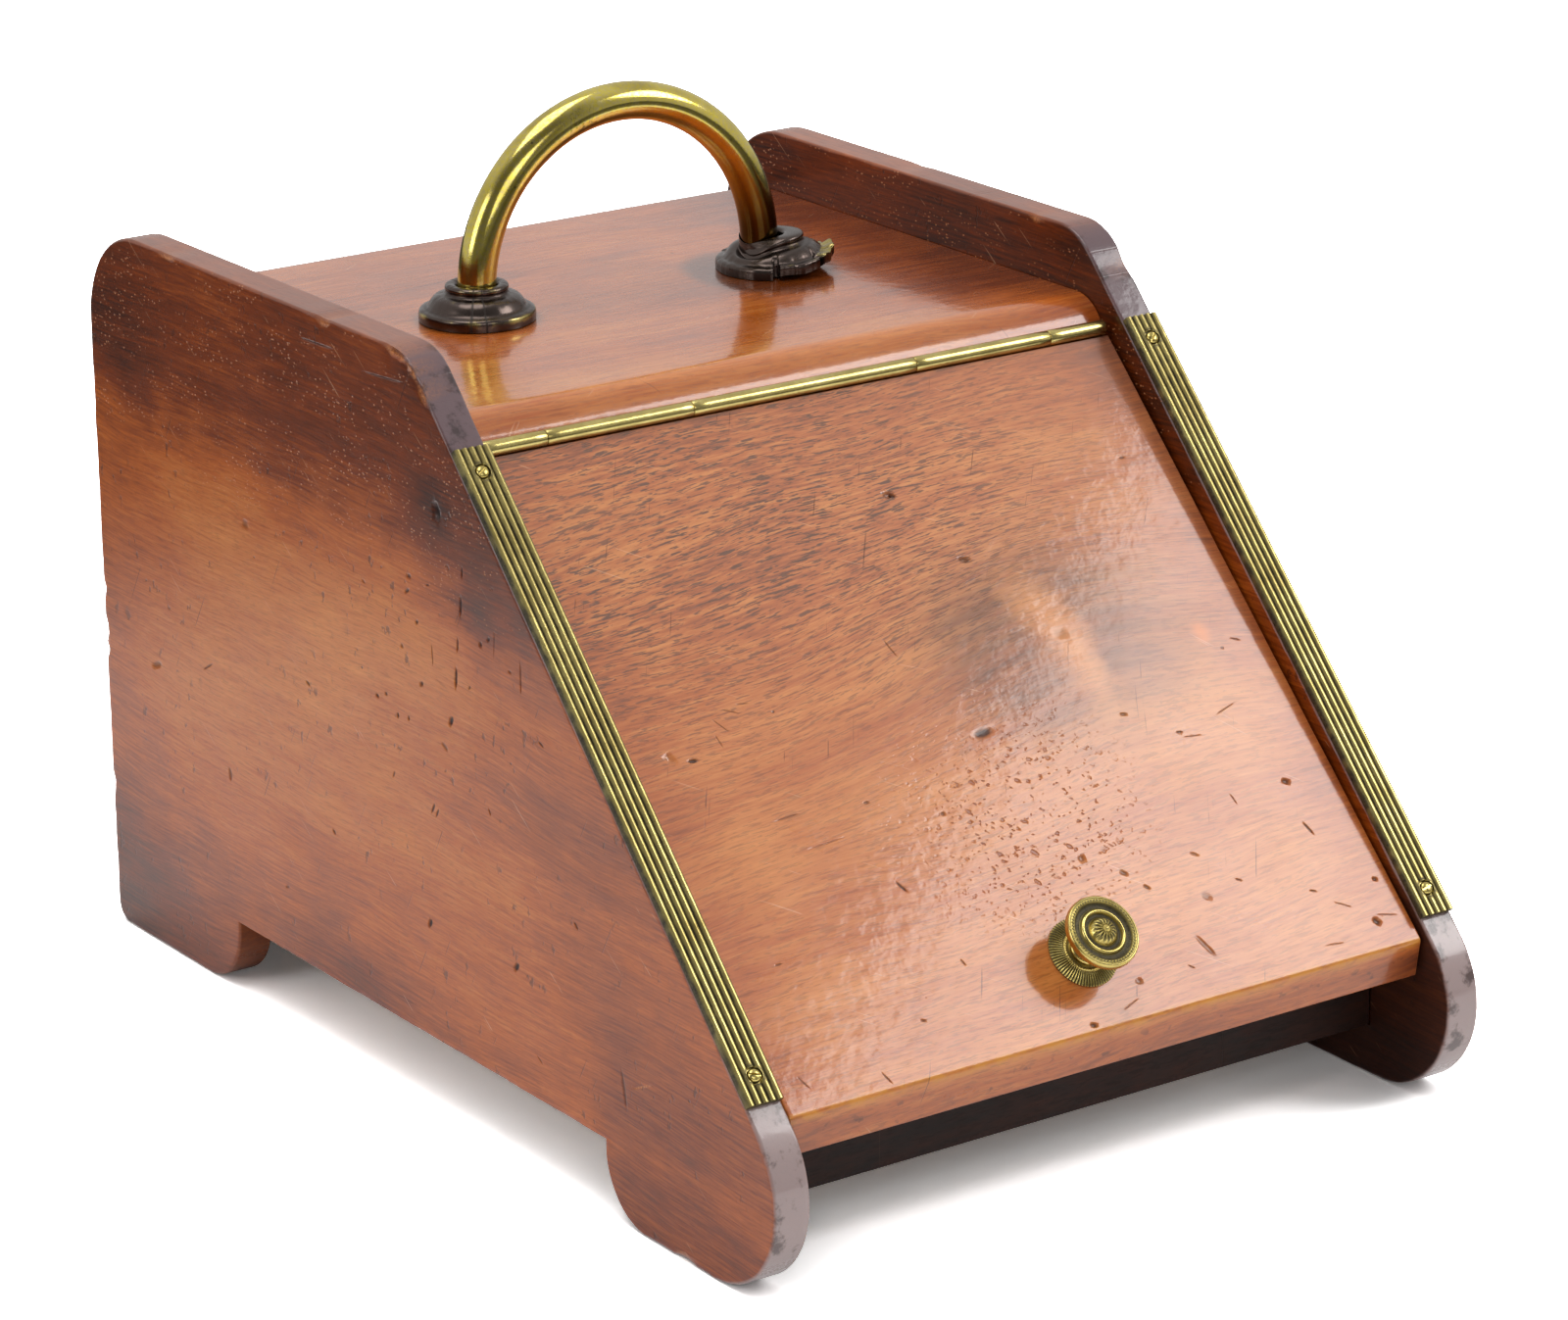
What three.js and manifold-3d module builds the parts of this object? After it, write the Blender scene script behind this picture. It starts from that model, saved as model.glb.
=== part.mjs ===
import * as THREE from 'three';
import { mergeVertices } from 'three/addons/utils/BufferGeometryUtils.js';
import Module from 'manifold-3d';

// Sloping-lid mahogany coal scuttle. Millimetres, +Z up, X to the right, front towards -Y.
// The origin is on the ground under the middle of the case.
// A depth is a distance from the back edge of the side panels towards the front.

const wasm = await Module();
wasm.setup();

// ---------------------------------------------------------------- driving dimensions

// case
const caseWidth = 340;
const caseDepth = 500;
const panelHeight = 311.5;
const panelThickness = 16;
const slopeAngle = THREE.MathUtils.degToRad(46.45);
const noseRadius = 40;
const topBackRadius = 42;
const topFrontRadius = 28;
const heelRadius = 8;
const archHeight = 30.4;
const archBack = 107.2;
const archToFront = 113;
const footRadius = 27;

// boards between the side panels
const topSurfaceHeight = 285;
const topBoardThickness = 20;
const topBoardBackRadius = 13;
const topBoardNoseRadius = 19;
const topBoardNoseSetback = 1.8;
const backBoardInset = 15.5;
const backBoardThickness = 12.5;
const backBoardGroundGap = 3;
const bottomBoardHeight = 42;
const bottomBoardThickness = 12;
const railToFront = 46.5;
const railThickness = 14;
const railHeight = 21;
const housingDepth = 5;
const topTongueThickness = 11;
const topTongueShoulder = 20;

// glue blocks
const blockLeg = 18;
const topBlockLength = 120;
const topBlockGap = 34;
const backBlockEndGap = 79;
const lowBlockLength = 55;
const lowBlockLeg = 11;
const lowBlockBackGap = 27.8;
const lowBlockFrontGap = 27;

// lid and its hinge
const hingeToFront = 220.7;
const hingeAxisHeight = 274.1;
const lidAngle = THREE.MathUtils.degToRad(44.94);
const lidLength = 291;
const lidThickness = 14;
const lidSink = 0.5;
const lidLipOverhang = 10;
const lidSideClearance = 1.5;
const lidArris = 2.5;
const hingeEndGap = 3;
const barrelRadius = 3.25;
const pinRadius = 1.45;
const leafThickness = 1.8;
const leafReach = 12.5;
const leafJointGap = 0.5;
const endKnuckleLength = 29;
const movingKnuckleLength = 68;
const barrelRelief = 0.6;
const hingeScrewReach = 7.8;
const fixedScrewInsets = [14, 67];
const movingScrewInsets = [23, 111];
const hingeScrewLength = 17;

// handle
const handleSpan = 140;
const handleForward = 1.5;
const handleRadius = 8;
const handleSpringHeight = 11;
const spigotRadius = 4;
const spigotEnd = 1.6;
const washerRadius = 9;
const washerThickness = 1.5;
const nutAcrossFlats = 13;
const nutHeight = 6.5;
const cupRadius = 24;
const cupRimHeight = 4.5;
const cupCollarRadius = 12;
const cupHeight = 15;
const cupWall = 1.2;

// knob
const knobReach = 259;
const knobHeight = 21.5;
const knobRadius = 15.2;
const knobWaistRadius = 4.6;
const knobSpigotRadius = 2.6;
const knobSpigotLength = 10.5;
const backplateRadius = 14.7;
const backplateThickness = 2.4;

// reeded strips on the sloping edges
const stripStart = 46;
const stripLength = 280;
const stripBase = 1.4;
const reedCount = 5;
const reedHeight = 1.6;
const stripScrewInset = 11;

// screws
const screwShankRadius = 1.4;
const stripScrewLength = 14;
const stripScrewHeadRadius = 2.8;
const stripScrewHeadHeight = 2.1;
const flatHeadRadius = 3;
const flatHeadHeight = 1.6;
const slotWidth = 0.8;
const slotDepth = 0.8;
const backScrewInset = 44;
const backScrewLength = 26;
const backScrewHeadRadius = 4;

// coal liner with its bail
const linerSideGap = 14;
const linerWall = 1.2;
const linerEndGap = 6;
const linerBackHeight = 160;
const linerFrontHeight = 36;
const rimBand = 6;
const rimThickness = 1.2;
const bailPivotBackward = 3.75;
const bailPivotRise = 9;
const bailReach = 95;
const bailRadius = 2.5;
const bailCorner = 25;
const bailHookReach = 3;
const bailHeadRadius = 4;
const bailHeadHeight = 1.5;
const earThickness = 1.6;
const earLugRadius = 6.5;
const earWidth = 34;
const earDrop = 20;
const earCornerRadius = 3;
const rivetSpacing = 22;
const rivetDrop = 12;
const rivetShankRadius = 1.5;
const rivetHeadRadius = 3.2;
const rivetHeadHeight = 1.4;

// clearances
const seat = 0.3;
const holeClearance = 0.3;
const armClearance = 0.9;

// facets
const arcStep = THREE.MathUtils.degToRad(9);
const roundSides = 32;
const smallSides = 12;
const barrelSides = 20;
const handleSides = 16;
const wireSides = 8;

// ---------------------------------------------------------------- places worked out from them

const innerHalf = caseWidth / 2 - panelThickness;
const toY = (depth) => caseDepth / 2 - depth;
const archFront = caseDepth - archToFront;
const railFaceDepth = caseDepth - railToFront;
const hingeAxisDepth = caseDepth - hingeToFront;
const topBoardNoseDepth = hingeAxisDepth - topBoardNoseSetback;
const handleDepth = (backBoardInset + topBoardNoseDepth) / 2 + handleForward;
const noseDepth = caseDepth - noseRadius;
const slopeTopDepth =
  noseDepth + (noseRadius - (panelHeight - noseRadius) * Math.cos(slopeAngle)) / Math.sin(slopeAngle);
const slopeFootDepth = slopeTopDepth + panelHeight / Math.tan(slopeAngle);
const topBoardUnderside = topSurfaceHeight - topBoardThickness;
const backBoardFront = backBoardInset + backBoardThickness;
const railBackDepth = railFaceDepth - railThickness;
const bottomBoardTop = bottomBoardHeight + bottomBoardThickness;
const leafFar = leafJointGap / 2 + leafThickness;
const jointFace = leafFar + seat;
const hingeY = toY(hingeAxisDepth);
const handleY = toY(handleDepth);
const lidHalf = innerHalf - lidSideClearance;
const hingeEnd = innerHalf - hingeEndGap;
const outerKnuckleEdge = hingeEnd - endKnuckleLength;
const innerKnuckleEdge = outerKnuckleEdge - movingKnuckleLength;
const fixedScrewPlaces = bothSides(fixedScrewInsets.map((inset) => hingeEnd - inset));
const movingScrewPlaces = bothSides(movingScrewInsets.map((inset) => hingeEnd - inset));
const backScrewPlaces = [backScrewInset - innerHalf, 0, innerHalf - backScrewInset];
const topBlockDepth = backBoardFront + topBlockGap;
const backBlockLength = 2 * (innerHalf - backBlockEndGap);
const lowBlockDepths = [archBack + lowBlockBackGap, archFront - lowBlockFrontGap - lowBlockLength];
const linerWidth = 2 * (innerHalf - linerSideGap);
const linerBack = backBoardFront + linerEndGap;
const linerFront = railBackDepth - linerEndGap;
const bailPivotDepth = (linerBack + linerFront) / 2 - bailPivotBackward;

// Places on both sides of the middle, from the left: the first given is the outermost.
function bothSides(places) {
  return [...places.map((place) => -place), ...places.toReversed()];
}

// ---------------------------------------------------------------- shape helpers

// Outline with rounded corners. Each corner is [y, z, radius]; a radius of 0 stays sharp.
function roundedOutline(corners) {
  const points = [];
  corners.forEach(([y, z, radius = 0], index) => {
    const corner = new THREE.Vector2(y, z);
    if (radius === 0) {
      points.push(corner);
      return;
    }
    const before = corners[(index + corners.length - 1) % corners.length];
    const after = corners[(index + 1) % corners.length];
    const back = new THREE.Vector2(before[0], before[1]).sub(corner).normalize();
    const onward = new THREE.Vector2(after[0], after[1]).sub(corner).normalize();
    const half = Math.acos(back.dot(onward)) / 2;
    const centre = back.clone().add(onward).normalize().multiplyScalar(radius / Math.sin(half)).add(corner);
    const start = back.clone().multiplyScalar(radius / Math.tan(half)).add(corner).sub(centre);
    const end = onward.clone().multiplyScalar(radius / Math.tan(half)).add(corner).sub(centre);
    const sweep = Math.atan2(start.cross(end), start.dot(end));
    const steps = Math.ceil(Math.abs(sweep) / arcStep);
    for (let step = 0; step <= steps; step++) {
      const turned = start.clone().rotateAround(new THREE.Vector2(), (sweep * step) / steps);
      points.push(turned.add(centre));
    }
  });
  return points;
}

// Prism whose outline is drawn in the Y-Z plane and which runs from one X to another.
function prism(outline, fromX, toX) {
  const shape = new THREE.Shape(outline);
  const geometry = new THREE.ExtrudeGeometry(shape, { depth: toX - fromX, bevelEnabled: false });
  const axes = new THREE.Matrix4().makeBasis(
    new THREE.Vector3(0, 1, 0),
    new THREE.Vector3(0, 0, 1),
    new THREE.Vector3(1, 0, 0),
  );
  return geometry.applyMatrix4(axes).translate(fromX, 0, 0);
}

function rectangle(y0, z0, y1, z1) {
  return [
    new THREE.Vector2(y0, z0),
    new THREE.Vector2(y1, z0),
    new THREE.Vector2(y1, z1),
    new THREE.Vector2(y0, z1),
  ];
}

// Turned piece about the Z axis from [radius, height] pairs.
function turned(profile, sides = roundSides) {
  const points = profile.map(([radius, height]) => new THREE.Vector2(radius, height));
  return new THREE.LatheGeometry(points, sides).rotateX(Math.PI / 2);
}

function rod(radius, fromZ, toZ, sides = smallSides) {
  return turned([[0, fromZ], [radius, fromZ], [radius, toZ], [0, toZ]], sides);
}

// Turns a piece that stands on +Z so that it points along a direction, and moves it to a place.
function aim(geometry, place, direction) {
  const turn = new THREE.Quaternion().setFromUnitVectors(new THREE.Vector3(0, 0, 1), direction);
  return geometry.clone().applyQuaternion(turn).translate(place.x, place.y, place.z);
}

function along(curve, radius, steps, sides) {
  const section = new THREE.Shape();
  for (let side = 0; side < sides; side++) {
    const angle = (2 * Math.PI * side) / sides;
    const point = [radius * Math.cos(angle), radius * Math.sin(angle)];
    if (side === 0) section.moveTo(...point);
    else section.lineTo(...point);
  }
  section.closePath();
  return new THREE.ExtrudeGeometry(section, { steps, extrudePath: curve, bevelEnabled: false });
}

function solidOf(geometry) {
  const bare = geometry.clone();
  bare.deleteAttribute('normal');
  bare.deleteAttribute('uv');
  const merged = mergeVertices(bare, 1e-4);
  return new wasm.Manifold(new wasm.Mesh({
    numProp: 3,
    vertProperties: Float32Array.from(merged.attributes.position.array),
    triVerts: Uint32Array.from(merged.index.array),
  }));
}

function geometryOf(solid) {
  const mesh = solid.getMesh();
  const geometry = new THREE.BufferGeometry();
  geometry.setAttribute('position', new THREE.BufferAttribute(mesh.vertProperties, 3));
  geometry.setIndex(new THREE.BufferAttribute(mesh.triVerts, 1));
  geometry.computeVertexNormals();
  return geometry;
}

function cut(base, tools) {
  return geometryOf(tools.reduce((solid, tool) => solid.subtract(solidOf(tool)), solidOf(base)));
}

function join(pieces) {
  return geometryOf(pieces.slice(1).reduce((solid, piece) => solid.add(solidOf(piece)), solidOf(pieces[0])));
}

// ---------------------------------------------------------------- finishes and assembly

const finishes = {
  mahogany: { color: 0x8a4526, roughness: 0.32, metalness: 0 },
  mahoganyPlain: { color: 0x6e3a22, roughness: 0.6, metalness: 0 },
  pine: { color: 0xa9825a, roughness: 0.8, metalness: 0 },
  brass: { color: 0xb08a2e, roughness: 0.28, metalness: 1 },
  agedBrass: { color: 0x6b6048, roughness: 0.42, metalness: 1 },
  steel: { color: 0x6a6a6c, roughness: 0.45, metalness: 1 },
  blackedSteel: { color: 0x1d1c1b, roughness: 0.55, metalness: 0 },
};

const scuttle = new THREE.Group();
const slopeLeft = new THREE.Group();
const slopeRight = new THREE.Group();
const hingeFrame = new THREE.Group();
const lidFrame = new THREE.Group();
const handleFrame = new THREE.Group();
const linerFrame = new THREE.Group();
const bailFrame = new THREE.Group();
scuttle.add(slopeLeft, slopeRight, hingeFrame, lidFrame, handleFrame, linerFrame);
linerFrame.add(bailFrame);

function addPart(name, geometry, finish, parent = scuttle) {
  const mesh = new THREE.Mesh(geometry, new THREE.MeshStandardMaterial(finishes[finish]));
  mesh.name = name;
  parent.add(mesh);
  return mesh;
}

const sides = [['left', -1], ['right', 1]];

// ---------------------------------------------------------------- screws

function roundHeadScrew(length, headRadius, headHeight) {
  const screw = turned([
    [0, -length],
    [screwShankRadius * 0.4, -length],
    [screwShankRadius, -length + 2 * screwShankRadius],
    [screwShankRadius, 0],
    [headRadius, 0],
    [headRadius, headHeight * 0.35],
    [headRadius * 0.75, headHeight * 0.82],
    [0, headHeight],
  ], smallSides);
  return cut(screw, [slotTool(headRadius, headHeight)]);
}

function flatHeadScrew(length, headRadius = flatHeadRadius) {
  const screw = turned([
    [0, -length],
    [screwShankRadius * 0.4, -length],
    [screwShankRadius, -length + 2 * screwShankRadius],
    [screwShankRadius, -flatHeadHeight],
    [headRadius, 0],
    [0, 0],
  ], smallSides);
  return cut(screw, [slotTool(headRadius, 0)]);
}

function slotTool(headRadius, topZ) {
  const reach = headRadius + 1;
  return new THREE.BoxGeometry(2 * reach, slotWidth, 2 * slotDepth).translate(0, 0, topZ);
}

// Hole that a flat-head screw needs in the piece that holds its head.
function countersink(depth, headRadius = flatHeadRadius) {
  const widening = holeClearance;
  return turned([
    [0, -depth],
    [screwShankRadius + widening, -depth],
    [screwShankRadius + widening, -flatHeadHeight - widening],
    [headRadius + widening, -widening],
    [headRadius + widening, 1],
    [0, 1],
  ], smallSides);
}

const pilotHole = (depth) => rod(screwShankRadius + holeClearance, -depth - holeClearance, 1);

// ---------------------------------------------------------------- hinge frame

// The hinge frame has its origin on the pin, -Y down the lid and +Z out of the lid's face.
function inHingeFrame(geometry) {
  return geometry.clone().rotateX(lidAngle).translate(0, hingeY, hingeAxisHeight);
}

for (const frame of [hingeFrame, lidFrame]) {
  frame.position.set(0, hingeY, hingeAxisHeight);
  frame.rotation.x = lidAngle;
}

const intoBoard = new THREE.Vector3(0, -1, 0);
const intoLid = new THREE.Vector3(0, 1, 0);
const fixedScrewPlace = (x) => new THREE.Vector3(x, leafJointGap / 2, -hingeScrewReach);
const movingScrewPlace = (x) => new THREE.Vector3(x, -leafJointGap / 2, -hingeScrewReach);

// ---------------------------------------------------------------- boards

// Height of the lid's underside, less the seat, at a depth.
function underLid(depth) {
  const drop = (lidThickness + lidSink + seat) / Math.cos(lidAngle);
  return hingeAxisHeight - (depth - hingeAxisDepth) * Math.tan(lidAngle) - drop;
}

// A board between the side panels: its section, and the section of the tongue housed in each panel.
const backTongue = rectangle(
  toY(backBoardInset), backBoardGroundGap, toY(backBoardFront), topBoardUnderside - seat);
const bottomTongue = rectangle(
  toY(backBoardFront + seat), bottomBoardHeight, toY(railBackDepth - seat), bottomBoardTop);
const topTongue = rectangle(
  toY(backBoardFront),
  topBoardUnderside + (topBoardThickness - topTongueThickness) / 2,
  toY(topBoardNoseDepth - topTongueShoulder),
  topBoardUnderside + (topBoardThickness + topTongueThickness) / 2);
const railSection = [
  new THREE.Vector2(toY(railFaceDepth), railHeight),
  new THREE.Vector2(toY(railBackDepth), railHeight),
  new THREE.Vector2(toY(railBackDepth), underLid(railBackDepth)),
  new THREE.Vector2(toY(railFaceDepth), underLid(railFaceDepth)),
];
const railTongue = rectangle(
  toY(railFaceDepth), railHeight, toY(railBackDepth), underLid(railFaceDepth));

function housedBoard(section, tongue) {
  const tongueHalf = innerHalf + housingDepth - seat;
  return join([
    prism(section, -innerHalf + seat, innerHalf - seat),
    prism(tongue, -tongueHalf, tongueHalf),
  ]);
}

function housing(tongue, side) {
  const box = new THREE.Box2().setFromPoints(tongue).expandByScalar(seat);
  const reach = [innerHalf - 1, innerHalf + housingDepth];
  const [fromX, toX] = side > 0 ? reach : [-reach[1], -reach[0]];
  return prism(rectangle(box.min.x, box.min.y, box.max.x, box.max.y), fromX, toX);
}

const topSection = roundedOutline([
  [toY(backBoardInset), topBoardUnderside],
  [toY(topBoardNoseDepth), topBoardUnderside],
  [toY(topBoardNoseDepth), topSurfaceHeight, topBoardNoseRadius],
  [toY(backBoardInset), topSurfaceHeight, topBoardBackRadius],
]);

// Space in front of the top board for the hinge: a face square to the lid, and the barrel's relief.
const jointRelief = inHingeFrame(prism(
  rectangle(-2 * topBoardThickness, -2 * topBoardThickness, jointFace, topBoardThickness),
  -caseWidth, caseWidth));
const barrelTool = turned([
  [0, -caseWidth],
  [barrelRadius + barrelRelief, -caseWidth],
  [barrelRadius + barrelRelief, caseWidth],
  [0, caseWidth],
], roundSides).rotateY(Math.PI / 2);

const spigotHole = (side) => rod(
  spigotRadius + holeClearance, topBoardUnderside - 1, topSurfaceHeight + 1, roundSides,
).translate((side * handleSpan) / 2, handleY, 0);

const topBoard = cut(housedBoard(topSection, topTongue), [
  jointRelief,
  inHingeFrame(barrelTool),
  spigotHole(-1),
  spigotHole(1),
  ...fixedScrewPlaces.map((x) => inHingeFrame(
    aim(pilotHole(hingeScrewLength), fixedScrewPlace(x), intoBoard))),
]);
addPart('top_board', topBoard, 'mahogany');

const backScrewZ = bottomBoardHeight + bottomBoardThickness / 2;
const backScrewPlace = (x) => new THREE.Vector3(x, toY(backBoardInset), backScrewZ);
const backwards = new THREE.Vector3(0, 1, 0);

addPart('back_board', cut(housedBoard(backTongue, backTongue), backScrewPlaces.map((x) => aim(
  countersink(backScrewLength, backScrewHeadRadius), backScrewPlace(x), backwards))), 'mahoganyPlain');
addPart('bottom_board', cut(housedBoard(bottomTongue, bottomTongue), backScrewPlaces.map((x) => aim(
  pilotHole(backScrewLength), backScrewPlace(x), backwards))), 'pine');
addPart('front_rail', housedBoard(railSection, railTongue), 'mahogany');

backScrewPlaces.forEach((x, index) => {
  const screw = flatHeadScrew(backScrewLength, backScrewHeadRadius);
  addPart(`back_screw_${index + 1}`, aim(screw, backScrewPlace(x), backwards), 'steel');
});

// ---------------------------------------------------------------- side panels

const panelOutline = roundedOutline([
  [toY(0), 0, heelRadius],
  [toY(archBack), 0, footRadius],
  [toY(archBack), archHeight],
  [toY(archFront), archHeight],
  [toY(archFront), 0, footRadius],
  [toY(slopeFootDepth), 0, noseRadius],
  [toY(slopeTopDepth), panelHeight, topFrontRadius],
  [toY(0), panelHeight, topBackRadius],
]);

// The slope frame has its origin at the top of the sloping edge, -Y down the slope and +Z out of it.
function inSlopeFrame(geometry) {
  return geometry.clone().rotateX(slopeAngle).translate(0, toY(slopeTopDepth), panelHeight);
}

const stripScrewReaches = [stripStart + stripScrewInset, stripStart + stripLength - stripScrewInset];
const stripScrewSeat = seat + stripBase;
const upwards = new THREE.Vector3(0, 0, 1);
const stripScrewPlace = (side, reach) => new THREE.Vector3(
  side * (caseWidth / 2 - panelThickness / 2), -reach, stripScrewSeat);

for (const [label, side] of sides) {
  const outer = (side * caseWidth) / 2;
  const inner = side * innerHalf;
  const panel = prism(panelOutline, Math.min(outer, inner), Math.max(outer, inner));
  const tools = [backTongue, bottomTongue, topTongue, railTongue].map((tongue) => housing(tongue, side));
  for (const reach of stripScrewReaches) {
    tools.push(inSlopeFrame(aim(pilotHole(stripScrewLength), stripScrewPlace(side, reach), upwards)));
  }
  addPart(`side_panel_${label}`, cut(panel, tools), 'mahogany');
}

// ---------------------------------------------------------------- reeded strips

function reedOutline() {
  const pitch = panelThickness / reedCount;
  const points = [new THREE.Vector2(-panelThickness / 2, 0), new THREE.Vector2(panelThickness / 2, 0)];
  const steps = 5;
  for (let reed = 0; reed < reedCount; reed++) {
    const middle = panelThickness / 2 - (reed + 0.5) * pitch;
    for (let step = reed === 0 ? 0 : 1; step <= steps; step++) {
      const angle = (Math.PI * step) / steps;
      const height = stripBase + reedHeight * Math.sin(angle);
      points.push(new THREE.Vector2(middle + (Math.cos(angle) * pitch) / 2, height));
    }
  }
  return points;
}

function reededStrip(side) {
  const bar = new THREE.ExtrudeGeometry(new THREE.Shape(reedOutline()), {
    depth: stripLength,
    bevelEnabled: false,
  });
  bar.rotateX(Math.PI / 2).translate(side * (caseWidth / 2 - panelThickness / 2), -stripStart, seat);
  const tools = stripScrewReaches.flatMap((reach) => {
    const place = stripScrewPlace(side, reach);
    const hole = rod(screwShankRadius + holeClearance, -2 * stripBase, stripBase);
    const spot = rod(stripScrewHeadRadius + holeClearance, 0, 2 * reedHeight);
    return [aim(hole, place, upwards), aim(spot, place, upwards)];
  });
  return cut(bar, tools);
}

for (const [label, side] of sides) {
  const frame = side < 0 ? slopeLeft : slopeRight;
  frame.position.set(0, toY(slopeTopDepth), panelHeight);
  frame.rotation.x = slopeAngle;
  addPart(`reeded_strip_${label}`, reededStrip(side), 'brass', frame);
  stripScrewReaches.forEach((reach, index) => {
    const screw = roundHeadScrew(stripScrewLength, stripScrewHeadRadius, stripScrewHeadHeight);
    const mesh = addPart(`strip_screw_${label}_${index + 1}`, screw, 'brass', frame);
    mesh.position.copy(stripScrewPlace(side, reach));
    mesh.position.z += seat;
  });
}

// ---------------------------------------------------------------- glue blocks

// A triangular block in the corner under a board: its right angle is at the corner.
function cornerBlock(leg, length) {
  const shape = new THREE.Shape([
    new THREE.Vector2(0, 0),
    new THREE.Vector2(leg, 0),
    new THREE.Vector2(0, -leg),
  ]);
  return new THREE.ExtrudeGeometry(shape, { depth: length, bevelEnabled: false });
}

for (const [label, side] of sides) {
  const turn = new THREE.Matrix4().makeBasis(
    new THREE.Vector3(-side, 0, 0),
    new THREE.Vector3(0, 0, 1),
    new THREE.Vector3(0, side, 0),
  );
  const cornerX = side * (innerHalf - seat);
  const block = (leg, length, depth, height) => cornerBlock(leg, length)
    .applyMatrix4(turn)
    .translate(cornerX, side > 0 ? toY(depth + length) : toY(depth), height - seat);
  const top = block(blockLeg, topBlockLength, topBlockDepth, topBoardUnderside);
  addPart(`top_block_${label}`, top, 'pine');
  lowBlockDepths.forEach((depth, index) => {
    const low = block(lowBlockLeg, lowBlockLength, depth, bottomBoardHeight);
    addPart(`bottom_block_${label}_${index + 1}`, low, 'pine');
  });
}
const backBlockTurn = new THREE.Matrix4().makeBasis(
  new THREE.Vector3(0, -1, 0),
  new THREE.Vector3(0, 0, 1),
  new THREE.Vector3(-1, 0, 0),
);
addPart('top_block_back', cornerBlock(blockLeg, backBlockLength)
  .applyMatrix4(backBlockTurn)
  .translate(backBlockLength / 2, toY(backBoardFront + seat), topBoardUnderside - seat), 'pine');

// ---------------------------------------------------------------- lid

const knobPlace = new THREE.Vector3(0, -knobReach, -lidSink);
const lidSection = roundedOutline([
  [-jointFace, -lidSink - lidThickness],
  [-jointFace, -lidSink],
  [-lidLength, -lidSink, lidArris],
  [-lidLength - lidLipOverhang, -lidSink - lidThickness],
]);
const knobBore = rod(knobSpigotRadius + holeClearance, -knobSpigotLength - holeClearance, 1, roundSides);
addPart('lid', cut(prism(lidSection, -lidHalf, lidHalf), [
  barrelTool,
  aim(knobBore, knobPlace, upwards),
  ...movingScrewPlaces.map((x) => aim(pilotHole(hingeScrewLength), movingScrewPlace(x), intoLid)),
]), 'mahogany', lidFrame);

// ---------------------------------------------------------------- hinge

// Knuckles that belong to each leaf, as stretches of X.
const fixedKnuckles = [
  [-hingeEnd, -outerKnuckleEdge],
  [-innerKnuckleEdge, innerKnuckleEdge],
  [outerKnuckleEdge, hingeEnd],
];
const movingKnuckles = [
  [-outerKnuckleEdge, -innerKnuckleEdge],
  [innerKnuckleEdge, outerKnuckleEdge],
];

function hingeLeaf(side, knuckles, screwPlaces, screwPlace, inward) {
  const near = (side * leafJointGap) / 2;
  const far = side * leafFar;
  const pieces = [prism(
    rectangle(near, -leafReach, far, -barrelRadius - barrelRelief), -hingeEnd, hingeEnd)];
  for (const [fromX, toX] of knuckles) {
    const ends = [fromX + seat / 2, toX - seat / 2];
    pieces.push(rod(barrelRadius, ends[0], ends[1], barrelSides).rotateY(Math.PI / 2));
    pieces.push(prism(rectangle(near, -barrelRadius - 2 * barrelRelief, far, -pinRadius), ...ends));
  }
  const bore = rod(pinRadius + holeClearance, -caseWidth, caseWidth, barrelSides).rotateY(Math.PI / 2);
  const sinks = screwPlaces.map((x) => aim(
    countersink(2 * leafThickness), screwPlace(x), inward));
  return cut(join(pieces), [bore, ...sinks]);
}

addPart('hinge_leaf_fixed', hingeLeaf(
  1, fixedKnuckles, fixedScrewPlaces, fixedScrewPlace, intoBoard), 'brass', hingeFrame);
addPart('hinge_leaf_moving', hingeLeaf(
  -1, movingKnuckles, movingScrewPlaces, movingScrewPlace, intoLid), 'brass', lidFrame);
addPart('hinge_pin', rod(pinRadius, -hingeEnd, hingeEnd, barrelSides)
  .rotateY(Math.PI / 2), 'steel', hingeFrame);
fixedScrewPlaces.forEach((x, index) => {
  const screw = aim(flatHeadScrew(hingeScrewLength), fixedScrewPlace(x), intoBoard);
  addPart(`hinge_screw_fixed_${index + 1}`, screw, 'brass', hingeFrame);
});
movingScrewPlaces.forEach((x, index) => {
  const screw = aim(flatHeadScrew(hingeScrewLength), movingScrewPlace(x), intoLid);
  addPart(`hinge_screw_moving_${index + 1}`, screw, 'brass', lidFrame);
});

// ---------------------------------------------------------------- knob

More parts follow.
